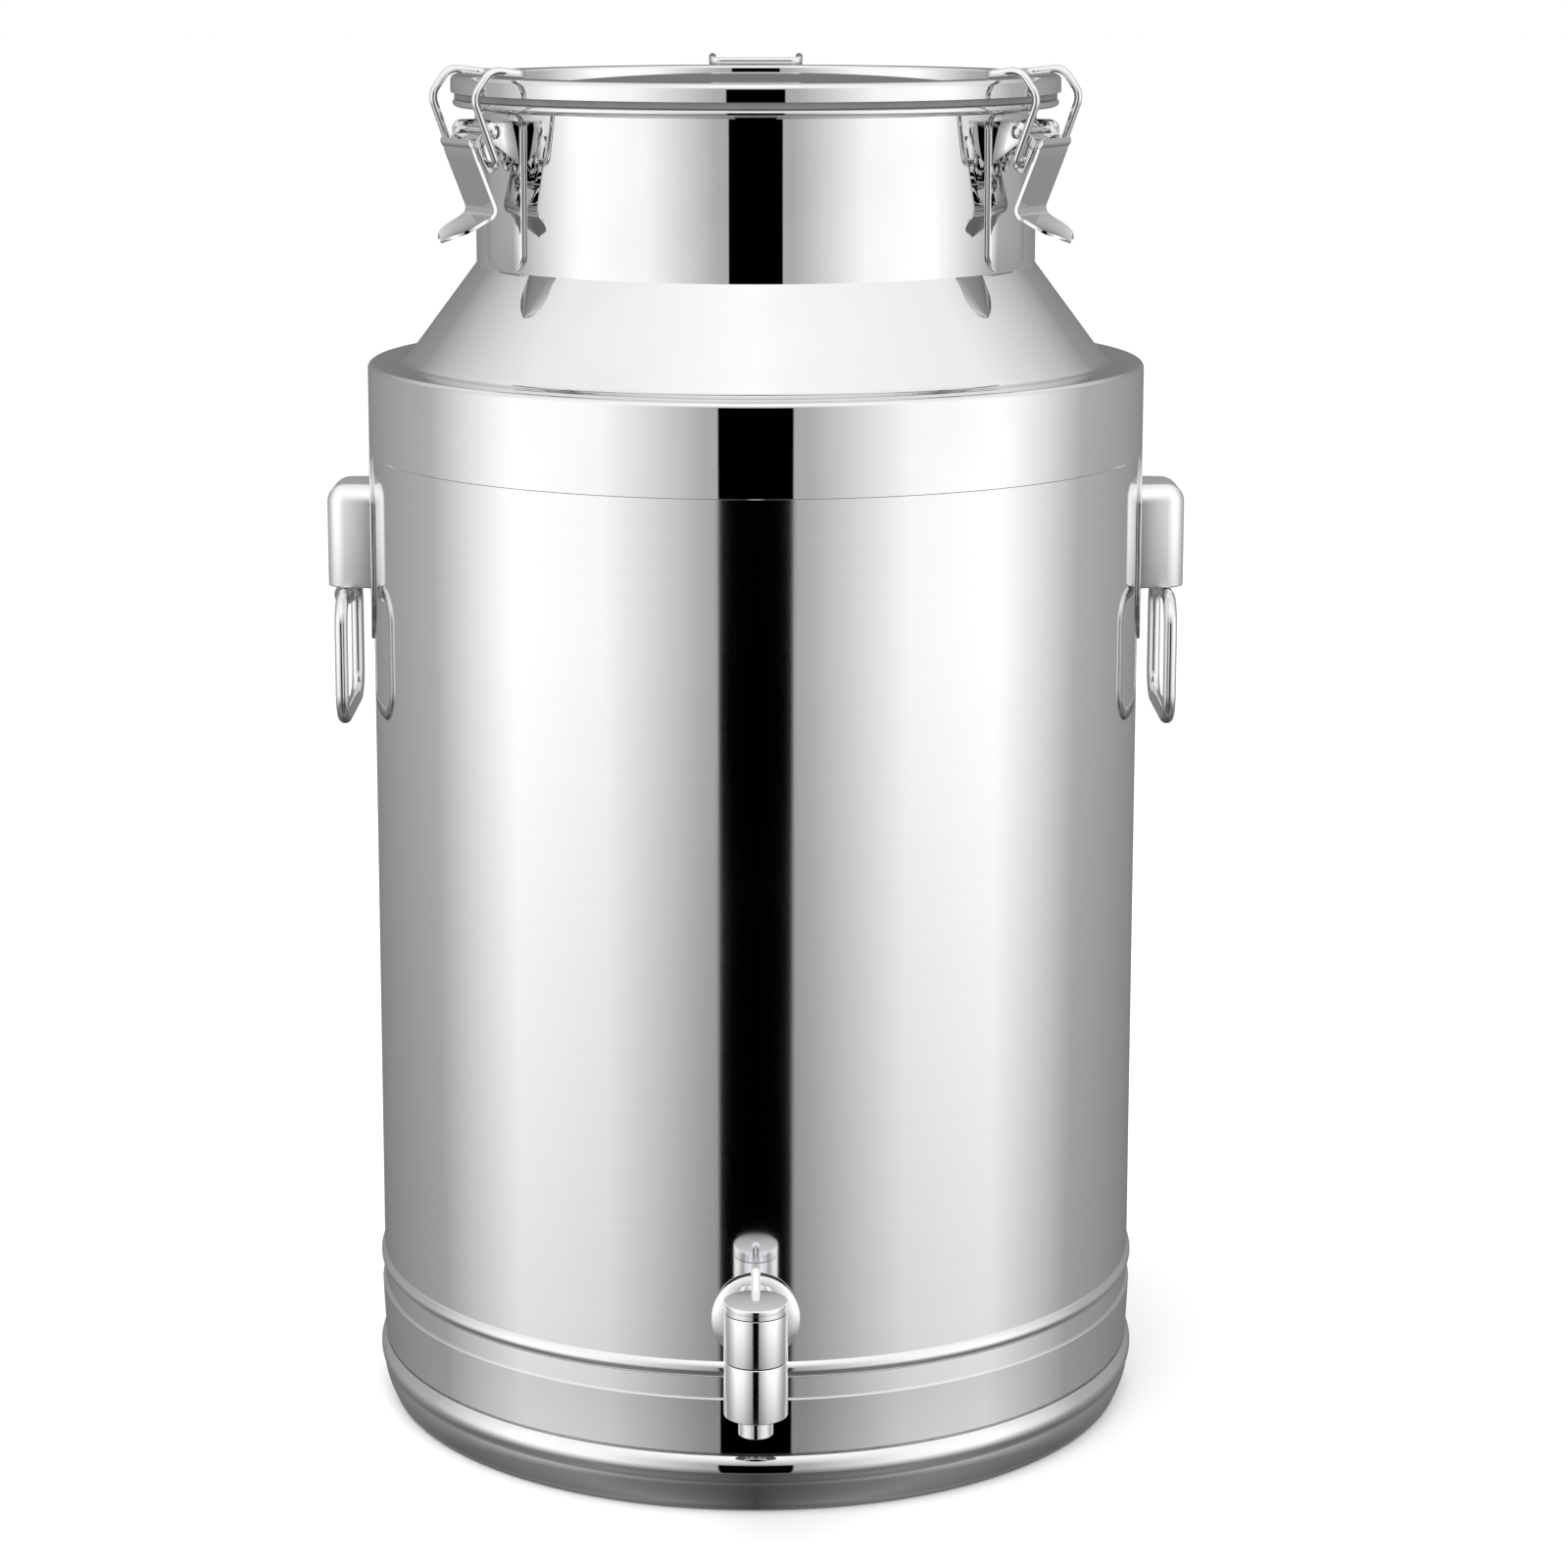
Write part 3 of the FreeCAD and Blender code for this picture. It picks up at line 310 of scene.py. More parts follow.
def polished_steel(name, colour, rough, groups, wave=0.1):
    """Mirror polished sheet: a slight ripple, smears and stray hairlines."""
    material, tree, shader = start_material(name, colour, 1.0, rough)
    marks = place_group(tree, groups["handling"], Smear_scale=18.0)
    tinted(tree, shader, marks.outputs["Smears"], colour, scaled(colour, 0.95))
    soft = maths(tree, "MULTIPLY", marks.outputs["Smears"], 0.02)
    lines = maths(tree, "MULTIPLY", marks.outputs["Hairlines"], 0.03)
    link(tree, maths(tree, "ADD", maths(tree, "ADD", soft, lines), rough),
         shader.inputs["Roughness"])
    bumped(tree, shader, marks.outputs["Waves"], wave, 0.0006)
    return material


def silicone(finish, groups):
    """The seals: dull dark grey rubber with a little dust; the dark grey is partly painted shade
    for the groove between lid and mouth.
    """
    material, tree, shader = start_material("silicone", finish.silicone, 0.0, 0.55)
    marks = place_group(tree, groups["handling"], Smear_scale=60.0)
    tinted(tree, shader, marks.outputs["Smears"], finish.silicone, scaled(finish.silicone, 1.25))
    link(tree, remap(tree, marks.outputs["Smears"], 0.0, 1.0, 0.5, 0.68),
         shader.inputs["Roughness"])
    return material


def acetal(groups):
    """The valve core: white moulded plastic."""
    white = (0.78, 0.78, 0.75)
    material, tree, shader = start_material("acetal", white, 0.0, 0.4)
    marks = place_group(tree, groups["handling"], Smear_scale=90.0)
    tinted(tree, shader, marks.outputs["Smears"], white, scaled(white, 0.94))
    return material


def pale_floor():
    """The stage floor: matt near white with a trace of mottling."""
    pale = (0.86, 0.86, 0.86)
    material, tree, shader = start_material("pale_floor", pale, 0.0, 0.7)
    where = tree.nodes.new("ShaderNodeTexCoord")
    tinted(tree, shader, noise(tree, where.outputs["Object"], 2.0), scaled(pale, 0.99), pale)
    return material


def all_materials(finish):
    """Every finish, by the record's slot name."""
    groups = {"brushing": brushing_group(), "handling": handling_group()}
    return {
        "satin_steel": satin_steel(finish, groups),
        "polished_steel": polished_steel("polished_steel", finish.polished,
                                         finish.polished_rough, groups),
        "steel_wire": polished_steel("steel_wire", finish.polished,
                                     finish.polished_rough * 2, groups, wave=0.2),
        "tap_chrome": polished_steel("tap_chrome", finish.chrome, finish.chrome_rough,
                                     groups, wave=0.0),
        # The brackets' copy of the polished steel is lightened by 1.15: a painted sheen for how
        # bright the brackets look under the light.
        "drawn_steel_painted_sheen": polished_steel("drawn_steel_painted_sheen", scaled(finish.polished, 1.15),
                                      finish.drawn_rough, groups, wave=0.05),
        "silicone": silicone(finish, groups),
        "acetal": acetal(groups),
    }


def finish_of(slot):
    """The material made for a slot."""
    return bpy.data.materials["can_" + slot]


# ---------------------------------------------------------------- shaping tools


def deselect():
    """Leaves edit mode and selects nothing."""
    if bpy.context.mode != "OBJECT":
        bpy.ops.object.mode_set(mode="OBJECT")
    bpy.ops.object.select_all(action="DESELECT")


def only(piece):
    """Makes one object the selected and active one."""
    deselect()
    piece.select_set(True)
    bpy.context.view_layer.objects.active = piece


def single_point(name, place):
    """A new mesh of one vertex, left in edit mode and selected."""
    deselect()
    bpy.ops.mesh.primitive_plane_add(size=MM, location=place)
    piece = bpy.context.object
    piece.name = name
    bpy.ops.object.transform_apply(location=True, rotation=False, scale=False)
    bpy.ops.object.mode_set(mode="EDIT")
    bpy.ops.mesh.select_all(action="SELECT")
    bpy.ops.mesh.merge(type="CENTER")
    bpy.ops.mesh.select_mode(type="VERT")
    return piece


def draw_chain(points):
    """Extrudes the selected vertex from point to point."""
    for here, after in zip(points, points[1:]):
        step = Vector(after) - Vector(here)
        bpy.ops.mesh.extrude_region_move(TRANSFORM_OT_translate={"value": step})


def tidy_mesh():
    """Merges doubled points and turns every face outwards."""
    bpy.ops.mesh.select_all(action="SELECT")
    bpy.ops.mesh.remove_doubles(threshold=DOUBLED)
    bpy.ops.mesh.normals_make_consistent(inside=False)
    bpy.ops.object.mode_set(mode="OBJECT")


def smooth(piece, degrees):
    """Smooth shading with creases kept at sharp edges."""
    only(piece)
    bpy.ops.object.shade_smooth_by_angle(angle=math.radians(degrees))


def spun(name, profile, centre=(0, 0), steps=256, closed=True, degrees=28):
    """A round shell: the (radius, height) profile is drawn, then spun once round the axis."""
    loop = list(profile) + ([profile[0]] if closed else [])
    points = [(centre[0] + radius, centre[1], level) for radius, level in loop]
    piece = single_point(name, points[0])
    draw_chain(points)
    bpy.ops.mesh.select_all(action="SELECT")
    bpy.ops.mesh.spin(steps=steps, angle=TURN, center=(centre[0], centre[1], 0), axis=(0, 0, 1))
    tidy_mesh()
    smooth(piece, degrees)
    return piece


def arc(centre, radius, start, finish, steps=8):
    """Points along an arc between two angles in degrees."""
    spread = [start + (finish - start) * n / steps for n in range(steps + 1)]
    return [(centre[0] + radius * math.cos(math.radians(angle)),
             centre[1] + radius * math.sin(math.radians(angle))) for angle in spread]


def bulge(start, finish, rise, steps=12):
    """Points of a shallow arc that stands out to the right of the way from start to finish."""
    first, last = Vector(start), Vector(finish)
    chord = last - first
    side = Vector((chord.y, -chord.x)).normalized()
    points = []
    for n in range(steps + 1):
        share = n / steps
        out = rise * 4 * share * (1 - share)
        spot = first + chord * share + side * out
        points.append((spot.x, spot.y))
    return points


def rounded_path(corners, radii, steps=10, closed=False):
    """A path whose corners are replaced by tangent arcs."""
    spots = [Vector(corner) for corner in corners]
    count = len(spots)
    path = [] if closed else [spots[0]]
    middle = range(count) if closed else range(1, count - 1)
    for index, radius in zip(middle, radii):
        here = spots[index]
        back = (spots[index - 1] - here).normalized()
        ahead = (spots[(index + 1) % count] - here).normalized()
        half = back.angle(ahead) / 2
        hub = here + (back + ahead).normalized() * (radius / math.sin(half))
        into = here + back * (radius / math.tan(half)) - hub
        out = here + ahead * (radius / math.tan(half)) - hub
        sweep = into.angle(out)
        for n in range(steps + 1):
            share = n / steps
            spot = (into * math.sin((1 - share) * sweep) + out * math.sin(share * sweep))
            path.append(hub + spot / math.sin(sweep))
    if not closed:
        path.append(spots[-1])
    return path


def rod(name, path, radius, closed=False, sides=8):
    """A round rod or wire along a path, made a mesh."""
    deselect()
    curve = bpy.data.curves.new(name, "CURVE")
    curve.dimensions = "3D"
    curve.bevel_depth = radius
    curve.bevel_resolution = sides
    curve.use_fill_caps = not closed
    spline = curve.splines.new("POLY")
    spline.points.add(len(path) - 1)
    for point, spot in zip(spline.points, path):
        point.co = (*spot, 1)
    spline.use_cyclic_u = closed
    piece = bpy.data.objects.new(name, curve)
    bpy.context.collection.objects.link(piece)
    only(piece)
    bpy.ops.object.convert(target="MESH")
    piece = bpy.context.object
    smooth(piece, 50)
    return piece


def slab(name, outline, low, high, plane="XZ"):
    """A flat plate: the outline is drawn and filled, then extruded from low to high."""
    def place(first, second, depth):
        return {"XZ": (first, depth, second), "YZ": (depth, first, second)}[plane]
    points = [place(first, second, low) for first, second in outline]
    piece = single_point(name, points[0])
    draw_chain(points + [points[0]])
    bpy.ops.mesh.select_all(action="SELECT")
    bpy.ops.mesh.remove_doubles(threshold=DOUBLED)
    bpy.ops.mesh.edge_face_add()
    step = place(0, 0, high - low)
    bpy.ops.mesh.extrude_region_move(TRANSFORM_OT_translate={"value": step})
    tidy_mesh()
    return piece


def rounded_box(half, low, high, corner, steps):
    """The outline of an upright plate with four round corners."""
    corners = [(-half, low, 0), (half, low, 0), (half, high, 0), (-half, high, 0)]
    return [(p.x, p.y) for p in rounded_path(corners, [corner] * 4, steps, True)]


def wrap(plate, radius, spacing, count):
    """Divides a flat plate by upright cuts (spacing in mm), then wraps it round the can's axis."""
    only(plate)
    bpy.ops.object.mode_set(mode="EDIT")
    for n in range(-count, count + 1):
        bpy.ops.mesh.select_all(action="SELECT")
        bpy.ops.mesh.bisect(plane_co=(0, n * spacing * MM, 0), plane_no=(0, 1, 0))
    bpy.ops.object.mode_set(mode="OBJECT")
    for vertex in plate.data.vertices:
        swing = vertex.co.y / radius
        vertex.co.x, vertex.co.y = vertex.co.x * math.cos(swing), vertex.co.x * math.sin(swing)


def modified(piece, kind, **settings):
    """Adds one modifier and applies it."""
    only(piece)
    modifier = piece.modifiers.new(kind.title(), kind)
    for name, value in settings.items():
        setattr(modifier, name, value)
    bpy.ops.object.modifier_apply(modifier=modifier.name)
    return piece


def softened(piece, width, segments=3, degrees=40):
    """Rounds every sharp edge, then shades the piece smooth."""
    modified(piece, "BEVEL", width=width, segments=segments,
             limit_method="ANGLE", angle_limit=math.radians(degrees))
    smooth(piece, 40)
    return piece


def joined(name, pieces):
    """Several meshes made one."""
    deselect()
    for piece in pieces:
        piece.select_set(True)
    bpy.context.view_layer.objects.active = pieces[0]
    bpy.ops.object.join()
    whole = bpy.context.object
    whole.name = name
    return whole


def turned_out(piece, spin, name=None):
    """A copy with its own mesh, turned about the can's axis, or the piece itself if unnamed."""
    if name:
        piece = piece.copy()
        piece.data = piece.data.copy()
        piece.name = name
        bpy.context.collection.objects.link(piece)
    piece.data.transform(Matrix.Rotation(math.radians(spin), 4, "Z"))
    return piece


def settle(piece, body, slot, *nodes):
    """Names the piece's body, finish and the CAD nodes that it stands for."""
    piece.data.materials.clear()
    piece.data.materials.append(finish_of(slot))
    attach(piece, body)
    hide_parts(*nodes)
    return piece


# ---------------------------------------------------------------- the vessel


def barrel_piece(sizes):
    """The barrel wall, with its raised bead."""
    low, high = height_range("barrel_shell")
    outer = sizes.body_radius
    inner = outer - sizes.wall
    bead = bulge((outer, 67.2 * MM), (outer, 75 * MM), 1.7 * MM, 16)
    flat_below, flat_above = 66.5 * MM, 75.7 * MM
    start = 76 * MM
    profile = [(inner, low), (outer, low), (outer, flat_below), *bead, (outer, flat_above)]
    steps = [(outer, start + (high - start) * n / 6) for n in range(1, 7)]
    profile += steps + [(inner, high)]
    return spun("barrel", profile)


def shoulder_piece(sizes):
    """The band, its rounded upper edge, the ledge and the cone up to the neck."""
    wall = sizes.wall
    outer = sizes.body_radius + wall
    bend = sizes.edge_round
    ledge = sizes.ledge_height
    seam = sizes.seam_height
    reach = sizes.neck_foot - ledge
    lean = math.atan2(reach, sizes.ledge_radius - sizes.neck_radius)
    trim = 0.35 * MM
    edge = arc((outer - bend, ledge - bend), bend, 0, 90)
    fillet = 6 * MM
    run = fillet * math.tan(lean / 2)
    hub = (sizes.ledge_radius + run, ledge + fillet)
    crease = arc(hub, fillet, -90, -90 - math.degrees(lean), 6)
    under = ledge - wall
    inner_edge = arc((outer - bend, ledge - bend), bend - wall, 90, 0)
    slope = (sizes.ledge_radius - sizes.neck_radius) / reach
    inner_foot = sizes.neck_radius - wall + (reach + wall) * slope
    profile = [(outer - trim, seam), (outer, seam + trim), *edge, *crease,
               (sizes.neck_radius, sizes.neck_foot), (sizes.neck_radius - wall, sizes.neck_foot),
               (inner_foot, under), *inner_edge, (sizes.body_radius, seam)]
    return spun("shoulder", profile)


def neck_piece(sizes):
    """The neck, with a rolled flange at the mouth."""
    wall = sizes.wall
    radius = sizes.neck_radius
    foot = sizes.neck_foot
    top = sizes.mouth
    reach = radius + 10.8 * MM
    half = 1.88 * MM
    roll = arc((reach - half, top - half), half, -90, 90, 12)
    under = top - 2 * half
    inner = radius - wall
    bend = 3 * MM
    throat = arc((inner + bend, top - bend), bend, 90, 180, 6)
    middle = foot + 25 * MM
    profile = [(inner, foot), (radius, foot), (radius, middle), (radius, under - 1 * MM),
               (radius + 1 * MM, under), *roll, *throat, (inner, middle)]
    return spun("neck", profile)


def foot_piece(sizes):
    """The foot ring: a lap, a face that leans in a little, a raised band and a rolled hem."""
    low, high = height_range("foot_ring")
    outer = sizes.body_radius + sizes.wall
    inner = sizes.body_radius
    tuck = 4.5 * MM
    hem = 2.2 * MM
    trim = 0.35 * MM
    base = outer - tuck
    fold = 17 * MM
    lower = bulge((base, hem), (outer, fold), 0.9 * MM, 10)
    waist = outer - 1.2 * MM
    band = bulge((outer, fold), (waist, 28.5 * MM), 1.8 * MM, 14)
    roll = arc((base - hem, low + hem), hem, -180, 0, 14)
    profile = [*roll, *lower[1:], *band[1:], (waist, 30 * MM), (outer, high - trim),
               (outer - trim, high), (inner, high), (inner, fold),
               (base - sizes.wall, hem)]
    return spun("foot", profile)


def bottom_piece(sizes):
    """The dished bottom inside the foot ring."""
    low, high = height_range("bottom_plate")
    edge = sizes.body_radius - sizes.wall
    dip = 6 * MM
    wall = sizes.wall
    dish = bulge((edge - 3 * wall, high), (0, high - dip), -1.5 * MM, 10)
    under = [(radius, level - wall) for radius, level in reversed(dish)]
    profile = [(edge, low), (edge, high - wall), (edge - wall, high), *dish, *under,
               (edge - wall, high - 2 * wall), (edge - wall, low)]
    return spun("bottom", profile, closed=True, steps=128)


def lid_profile(sizes):
    """The lid's section: a domed panel in a recess, a flat rim and a short skirt."""
    low, top = height_range("lid_shell")
    wall = sizes.wall
    radius = sizes.lid_radius
    rim = radius - 18 * MM
    panel = 128 * MM
    rise = 6.5 * MM
    dome_radius = (panel ** 2 + rise ** 2) / (2 * rise)
    spread = math.asin(panel / dome_radius)
    hub = (0, top - dome_radius)
    dome = [(dome_radius * math.sin(spread * n / 20), hub[1] + dome_radius
             * math.cos(spread * n / 20)) for n in range(21)]
    valley = top - rise
    tight, wide = 1.6 * MM, 2.8 * MM
    inner_round = arc((rim + tight, top - tight), tight, 180, 90, 6)
    outer_round = arc((radius - wide, top - wide), wide, 90, 0, 8)
    over = [*dome, (rim - 1.2 * MM, valley - 0.1 * MM), (rim - 0.3 * MM, valley + 0.6 * MM),
            (rim, valley + tight), *inner_round, *outer_round, (radius, low)]
    under = [(radius - wall, low), (radius - wall, top - wall), (rim + wall, top - wall),
             (rim + wall, valley - wall), (panel, valley - wall)]
    back = [(r, level - wall) for r, level in reversed(dome[:-1])]
    return over + under + back


def gasket_piece(sizes):
    """The silicone ring between lid and mouth."""
    low, high = height_range("lid_gasket")
    outer = outer_radius("lid_gasket")
    inner = sizes.neck_radius - sizes.wall - 2.5 * MM
    lip = inner + 2 * MM
    mouth = sizes.mouth
    profile = [(inner, low + 0.5 * MM), (inner + 0.5 * MM, low), (lip, low), (lip, mouth),
               (outer - 0.4 * MM, mouth), (outer, mouth + 0.4 * MM), (outer, high), (inner, high)]
    return spun("gasket", profile)


# ---------------------------------------------------------------- latches


PIVOT = (151.0 * MM, 640.0 * MM)
HOOK = (152.3 * MM, 625.0 * MM)
LEVER_HALF = 15.5 * MM
TAB_HALF = 14.8 * MM
LEVER_SHEET = 1.5 * MM
WIRE_RADIUS = 1.9 * MM


def latch_base_piece():
    """The curved plate with its U bracket and two ears."""
    sheet = 2 * MM
    low, high = 574 * MM, 648 * MM
    half = 18 * MM
    plate = slab("plate", rounded_box(half, low, high, 8 * MM, 6), NECK_RADIUS,
                 NECK_RADIUS + sheet, "YZ")
    wrap(plate, NECK_RADIUS, 3.2, 5)
    softened(plate, 0.5 * MM, 2)
    parts = [plate]
    ear_x, ear_z = PIVOT
    bend = 5 * MM
    nose = arc((ear_x, ear_z), bend, -74, 74, 10)
    web = NECK_RADIUS + sheet / 2
    thick = 1.9 * MM
    ear_foot, ear_top = ear_z - 3 * bend, ear_z + 0.96 * bend
    outline = [(web, ear_foot), *nose, (web, ear_top)]
    for low_y, high_y in ((-half, -half + thick), (half - thick, half)):
        parts.append(softened(slab("ear", outline, low_y, high_y), 0.3 * MM, 2))
    back = [(web, ear_foot), (web + thick, ear_z - 2.85 * bend),
            (web + thick, ear_top), (web, ear_top)]
    parts.append(softened(slab("web", back, -half + 0.2 * MM, half - 0.2 * MM), 0.3 * MM, 2))
    return joined("latch_base", parts)


def latch_pin_piece():
    """The rivet with domed heads."""
    reach = 19.3 * MM
    head = 3.2 * MM
    shaft = 2 * MM
    shoulder = 18 * MM
    dome = bulge((head, shoulder + 0.3 * MM), (0, reach), 0.25 * MM, 6)
    half = [(shaft, 0), (shaft, shoulder), (head, shoulder), *dome]
    mirror = [(radius, -level) for radius, level in reversed(half[1:])]
    piece = spun("latch_pin", mirror + half, steps=32, closed=False)
    piece.data.transform(Matrix.Translation((PIVOT[0], 0, PIVOT[1]))
                         @ Matrix.Rotation(math.radians(90), 4, "X"))
    return piece


def lever_line():
    """The lever's section: rolled top, web, reverse bend and flared tab, as (x, z) points."""
    curl = (PIVOT[0] + 8 * MM, PIVOT[1] - 4 * MM)
    roll = arc(curl, 3.75 * MM, -215, 0, 16)
    start = roll[-1]
    foot = (PIVOT[0] - 2.4 * MM, PIVOT[1] - 38.6 * MM)
    tip = (PIVOT[0] + 19.6 * MM, PIVOT[1] - 50 * MM)
    corners = [(*start, 0), (*foot, 0), (*tip, 0)]
    path = rounded_path(corners, [4.5 * MM], 8)
    web = [(start[0] + (path[1].x - start[0]) * n / 6, start[1] + (path[1].y - start[1]) * n / 6)
           for n in range(1, 6)]
    bend = [(p.x, p.y) for p in path[1:-1]]
    last = bend[-1]
    tab = [(last[0] + (tip[0] - last[0]) * n / 12, last[1] + (tip[1] - last[1]) * n / 12)
           for n in range(1, 13)]
    return roll + web + bend + tab, len(roll) + len(web) + len(bend)


def lever_piece():
    """The pressed lever, bent from one strip, with two cheeks for the pin and the wire."""
    line, tab_start = lever_line()
    across = 12
    deselect()
    bpy.ops.mesh.primitive_grid_add(x_subdivisions=across, y_subdivisions=len(line) - 1, size=2)
    strip = bpy.context.object
    strip.name = "lever_strip"
    for vertex in strip.data.vertices:
        side = vertex.co.x
        step = round((vertex.co.y + 1) / 2 * (len(line) - 1))
        x, z = line[step]
        half = LEVER_HALF
        cup = 0.0
        if step >= tab_start:
            share = (step - tab_start + 1) / (len(line) - tab_start)
            half = TAB_HALF * math.sqrt(max(0.02, 1 - max(0.0, share - 0.35) ** 2 / 0.43))
            cup = 1.6 * MM * share * (1 - side * side)
        vertex.co = (x, side * half, z - cup)
    only(strip)
    bpy.ops.object.mode_set(mode="EDIT")
    tidy_mesh()
    modified(strip, "SOLIDIFY", thickness=LEVER_SHEET, offset=0)
    modified(strip, "BEVEL", width=0.35 * MM, segments=2, limit_method="ANGLE",
             angle_limit=math.radians(50))
    modified(strip, "SUBSURF", levels=1, render_levels=1)
    parts = [strip]
    bend = 4.2 * MM
    hook_arc = arc(HOOK, bend, 180, 290, 8)
    top_arc = arc(PIVOT, bend, 75, 180, 8)
    corner = (PIVOT[0] + 9 * MM, PIVOT[1] - 5 * MM)
    outline = [*top_arc, *hook_arc, corner]
    for low, high in ((-LEVER_HALF, -LEVER_HALF + LEVER_SHEET),
                      (LEVER_HALF - LEVER_SHEET, LEVER_HALF)):
        parts.append(softened(slab("cheek", outline, low, high), 0.35 * MM, 2))
    lever = joined("latch_lever", parts)
    smooth(lever, 45)
    return lever


def bail_piece():
    """The wire bail: hooks, bowed legs and the bar over the lid's rim."""
    span = 22.8 * MM
    inner = 12.5 * MM
    low = HOOK
    shoulder = (PIVOT[0] + 13.2 * MM, PIVOT[1] + 16.5 * MM)
    crest = (PIVOT[0] + 3.8 * MM, PIVOT[1] + 29 * MM)
    bar = (PIVOT[0] - 14 * MM, 666.6 * MM)
    side = [low, shoulder, crest, bar]
    first = [(x, -span, z) for x, z in side]
    second = [(x, span, z) for x, z in reversed(side)]
    corners = [(HOOK[0], -inner, HOOK[1]), *first, *second, (HOOK[0], inner, HOOK[1])]
    bend = 8.5 * MM
    turn = WIRE_RADIUS * 1.6
    bar_bend = 5 * MM
    radii = [turn, bend, bend, bar_bend, bar_bend, bend, bend, turn]
    return rod("latch_bail", rounded_path(corners, radii, 9), WIRE_RADIUS)


# ---------------------------------------------------------------- side handles


RING_BAR = (203.5 * MM, 409.5 * MM)


def handle_plate_piece():
    """The doubler plate, rolled to the barrel."""
    low, high = 385 * MM, 480 * MM
    half = 33 * MM
    sheet = 1.5 * MM
    plate = slab("handle_plate", rounded_box(half, low, high, 28 * MM, 12), BODY_RADIUS,
                 BODY_RADIUS + sheet, "YZ")
    wrap(plate, BODY_RADIUS, 3, 10)
    return softened(plate, 0.5 * MM, 3)


def handle_bracket_piece():
    """The drawn box with soft corners, and the two eyes that hold the ring's bar."""
    low, high = 413 * MM, 464 * MM
    half = 24 * MM
    back, front = 188.5 * MM, 212 * MM
    deselect()
    bpy.ops.mesh.primitive_cube_add(size=1, location=((back + front) / 2, 0, (low + high) / 2))
    box = bpy.context.object
    box.scale = (front - back, 2 * half, high - low)
    bpy.ops.object.transform_apply(location=True, rotation=False, scale=True)
    box.name = "bracket_box"
    bpy.ops.object.mode_set(mode="EDIT")
    bpy.ops.mesh.select_mode(type="EDGE")
    bpy.ops.mesh.select_all(action="DESELECT")
    bpy.ops.object.mode_set(mode="OBJECT")
    points = box.data.vertices
    for edge in box.data.edges:
        ends = [points[n].co for n in edge.vertices]
        front_edge = all(end.x > front - MM for end in ends)
        side_edge = abs(ends[0].x - ends[1].x) > MM and all(end.z > high - MM for end in ends)
        low_front = front_edge and all(end.z < low + MM for end in ends)
        edge.select = (front_edge and not low_front) or side_edge
    bpy.ops.object.mode_set(mode="EDIT")
    bpy.ops.mesh.bevel(offset=9 * MM, segments=10, affect="EDGES")
    bpy.ops.object.mode_set(mode="OBJECT")
    for vertex in box.data.vertices:
        vertex.co.y *= 1 - 0.16 * (vertex.co.x - back) / (front - back)
    softened(box, 0.8 * MM, 3, 50)
    bar_x, bar_z = RING_BAR
    bore, shoulder, outer = 3.3 * MM, 5.0 * MM, 5.45 * MM
    near, far = 9 * MM, 19 * MM
    parts = [box]
    for side in (-1, 1):
        ring = spun("eye", [(bore, near), (shoulder, near), (outer, 9.5 * MM),
                            (outer, 18.5 * MM), (shoulder, far), (bore, far)], steps=40)
        move = Matrix.Translation((bar_x, 0, bar_z))
        ring.data.transform(move @ Matrix.Rotation(math.radians(-90 * side), 4, "X"))
        parts.append(ring)
    whole = joined("handle_bracket", parts)
    smooth(whole, 35)
    return whole


def handle_ring_piece():
    """The closed carrying ring."""
    x, top = RING_BAR
    low = top - 60.5 * MM
    half = 39 * MM
    corners = [(x, -half, top), (x, half, top), (x, half, low), (x, -half, low)]
    path = rounded_path(corners, [14 * MM] * 4, 12, True)
    return rod("handle_ring", path, 3.25 * MM, closed=True, sides=10)


# ---------------------------------------------------------------- tap


TAP_AXIS = 229.5 * MM
TAP_RADIUS = 14.75 * MM
TAP_FRONT = 195.3 * MM
INLET = 97.5 * MM


def upright_turning(name, profile, steps=96):
    """A turned piece on the tap's upright axis, in the tap's own place."""
    piece = spun(name, profile, centre=(TAP_AXIS, 0), steps=steps)
    return turned_out(piece, TAP_SPIN)


def level_turning(name, profile, steps=96):
    """A turned piece on the inlet's level axis; the profile is (radius, distance out)."""
    piece = spun(name, profile, steps=steps)
    place = Matrix.Translation((0, 0, INLET)) @ Matrix.Rotation(math.radians(90), 4, "Y")
    piece.data.transform(place)
    return turned_out(piece, TAP_SPIN)


def eased(radius, low, high, ease):
    """The outer corners of a turned length, each with a small round."""
    return [*arc((radius - ease, low + ease), ease, -90, 0, 5),
            *arc((radius - ease, high - ease), ease, 0, 90, 5)]


def tap_body_piece():
    """The fixed body with its inlet and collar."""
    low, high = 91.8 * MM, 114.3 * MM
    bore = 8.95 * MM
    upright = upright_turning("tap_upright", [
        (bore, low), *eased(TAP_RADIUS, low, high, 0.25 * MM), (bore, high)])
    shank, collar, stem = 10.2 * MM, 11.5 * MM, 5.9 * MM
    back, collar_end, end = TAP_FRONT - 25 * MM, TAP_FRONT + 2 * MM, TAP_AXIS - 9.5 * MM
    inlet = level_turning("tap_inlet", [
        (0, back), (shank, back), (shank, TAP_FRONT),
        *eased(collar, TAP_FRONT, collar_end, 0.4 * MM), (stem, collar_end),
        (stem, end), (0, end)], steps=64)
    return joined("tap_body", [upright, inlet])


def tap_lever_piece():
    """The slim rod, leaning back from the knob's edge, with a round tip."""
    root = Vector((TAP_AXIS - 12.5 * MM, 0, 116.3 * MM))
    tip = Vector((TAP_AXIS - 23 * MM, 0, 126.8 * MM))
    radius = 2.25 * MM
    reach = (tip - root).length
    slim = radius * 0.95
    dome = arc((0, reach - slim), slim, 0, 90, 6)
    profile = [(0, 0), (slim, 0), *dome]
    piece = spun("tap_lever", profile, steps=32, closed=False)
    lean = (tip - root).to_track_quat("Z", "Y").to_matrix().to_4x4()
    piece.data.transform(Matrix.Translation(root) @ lean)
    return turned_out(piece, TAP_SPIN)


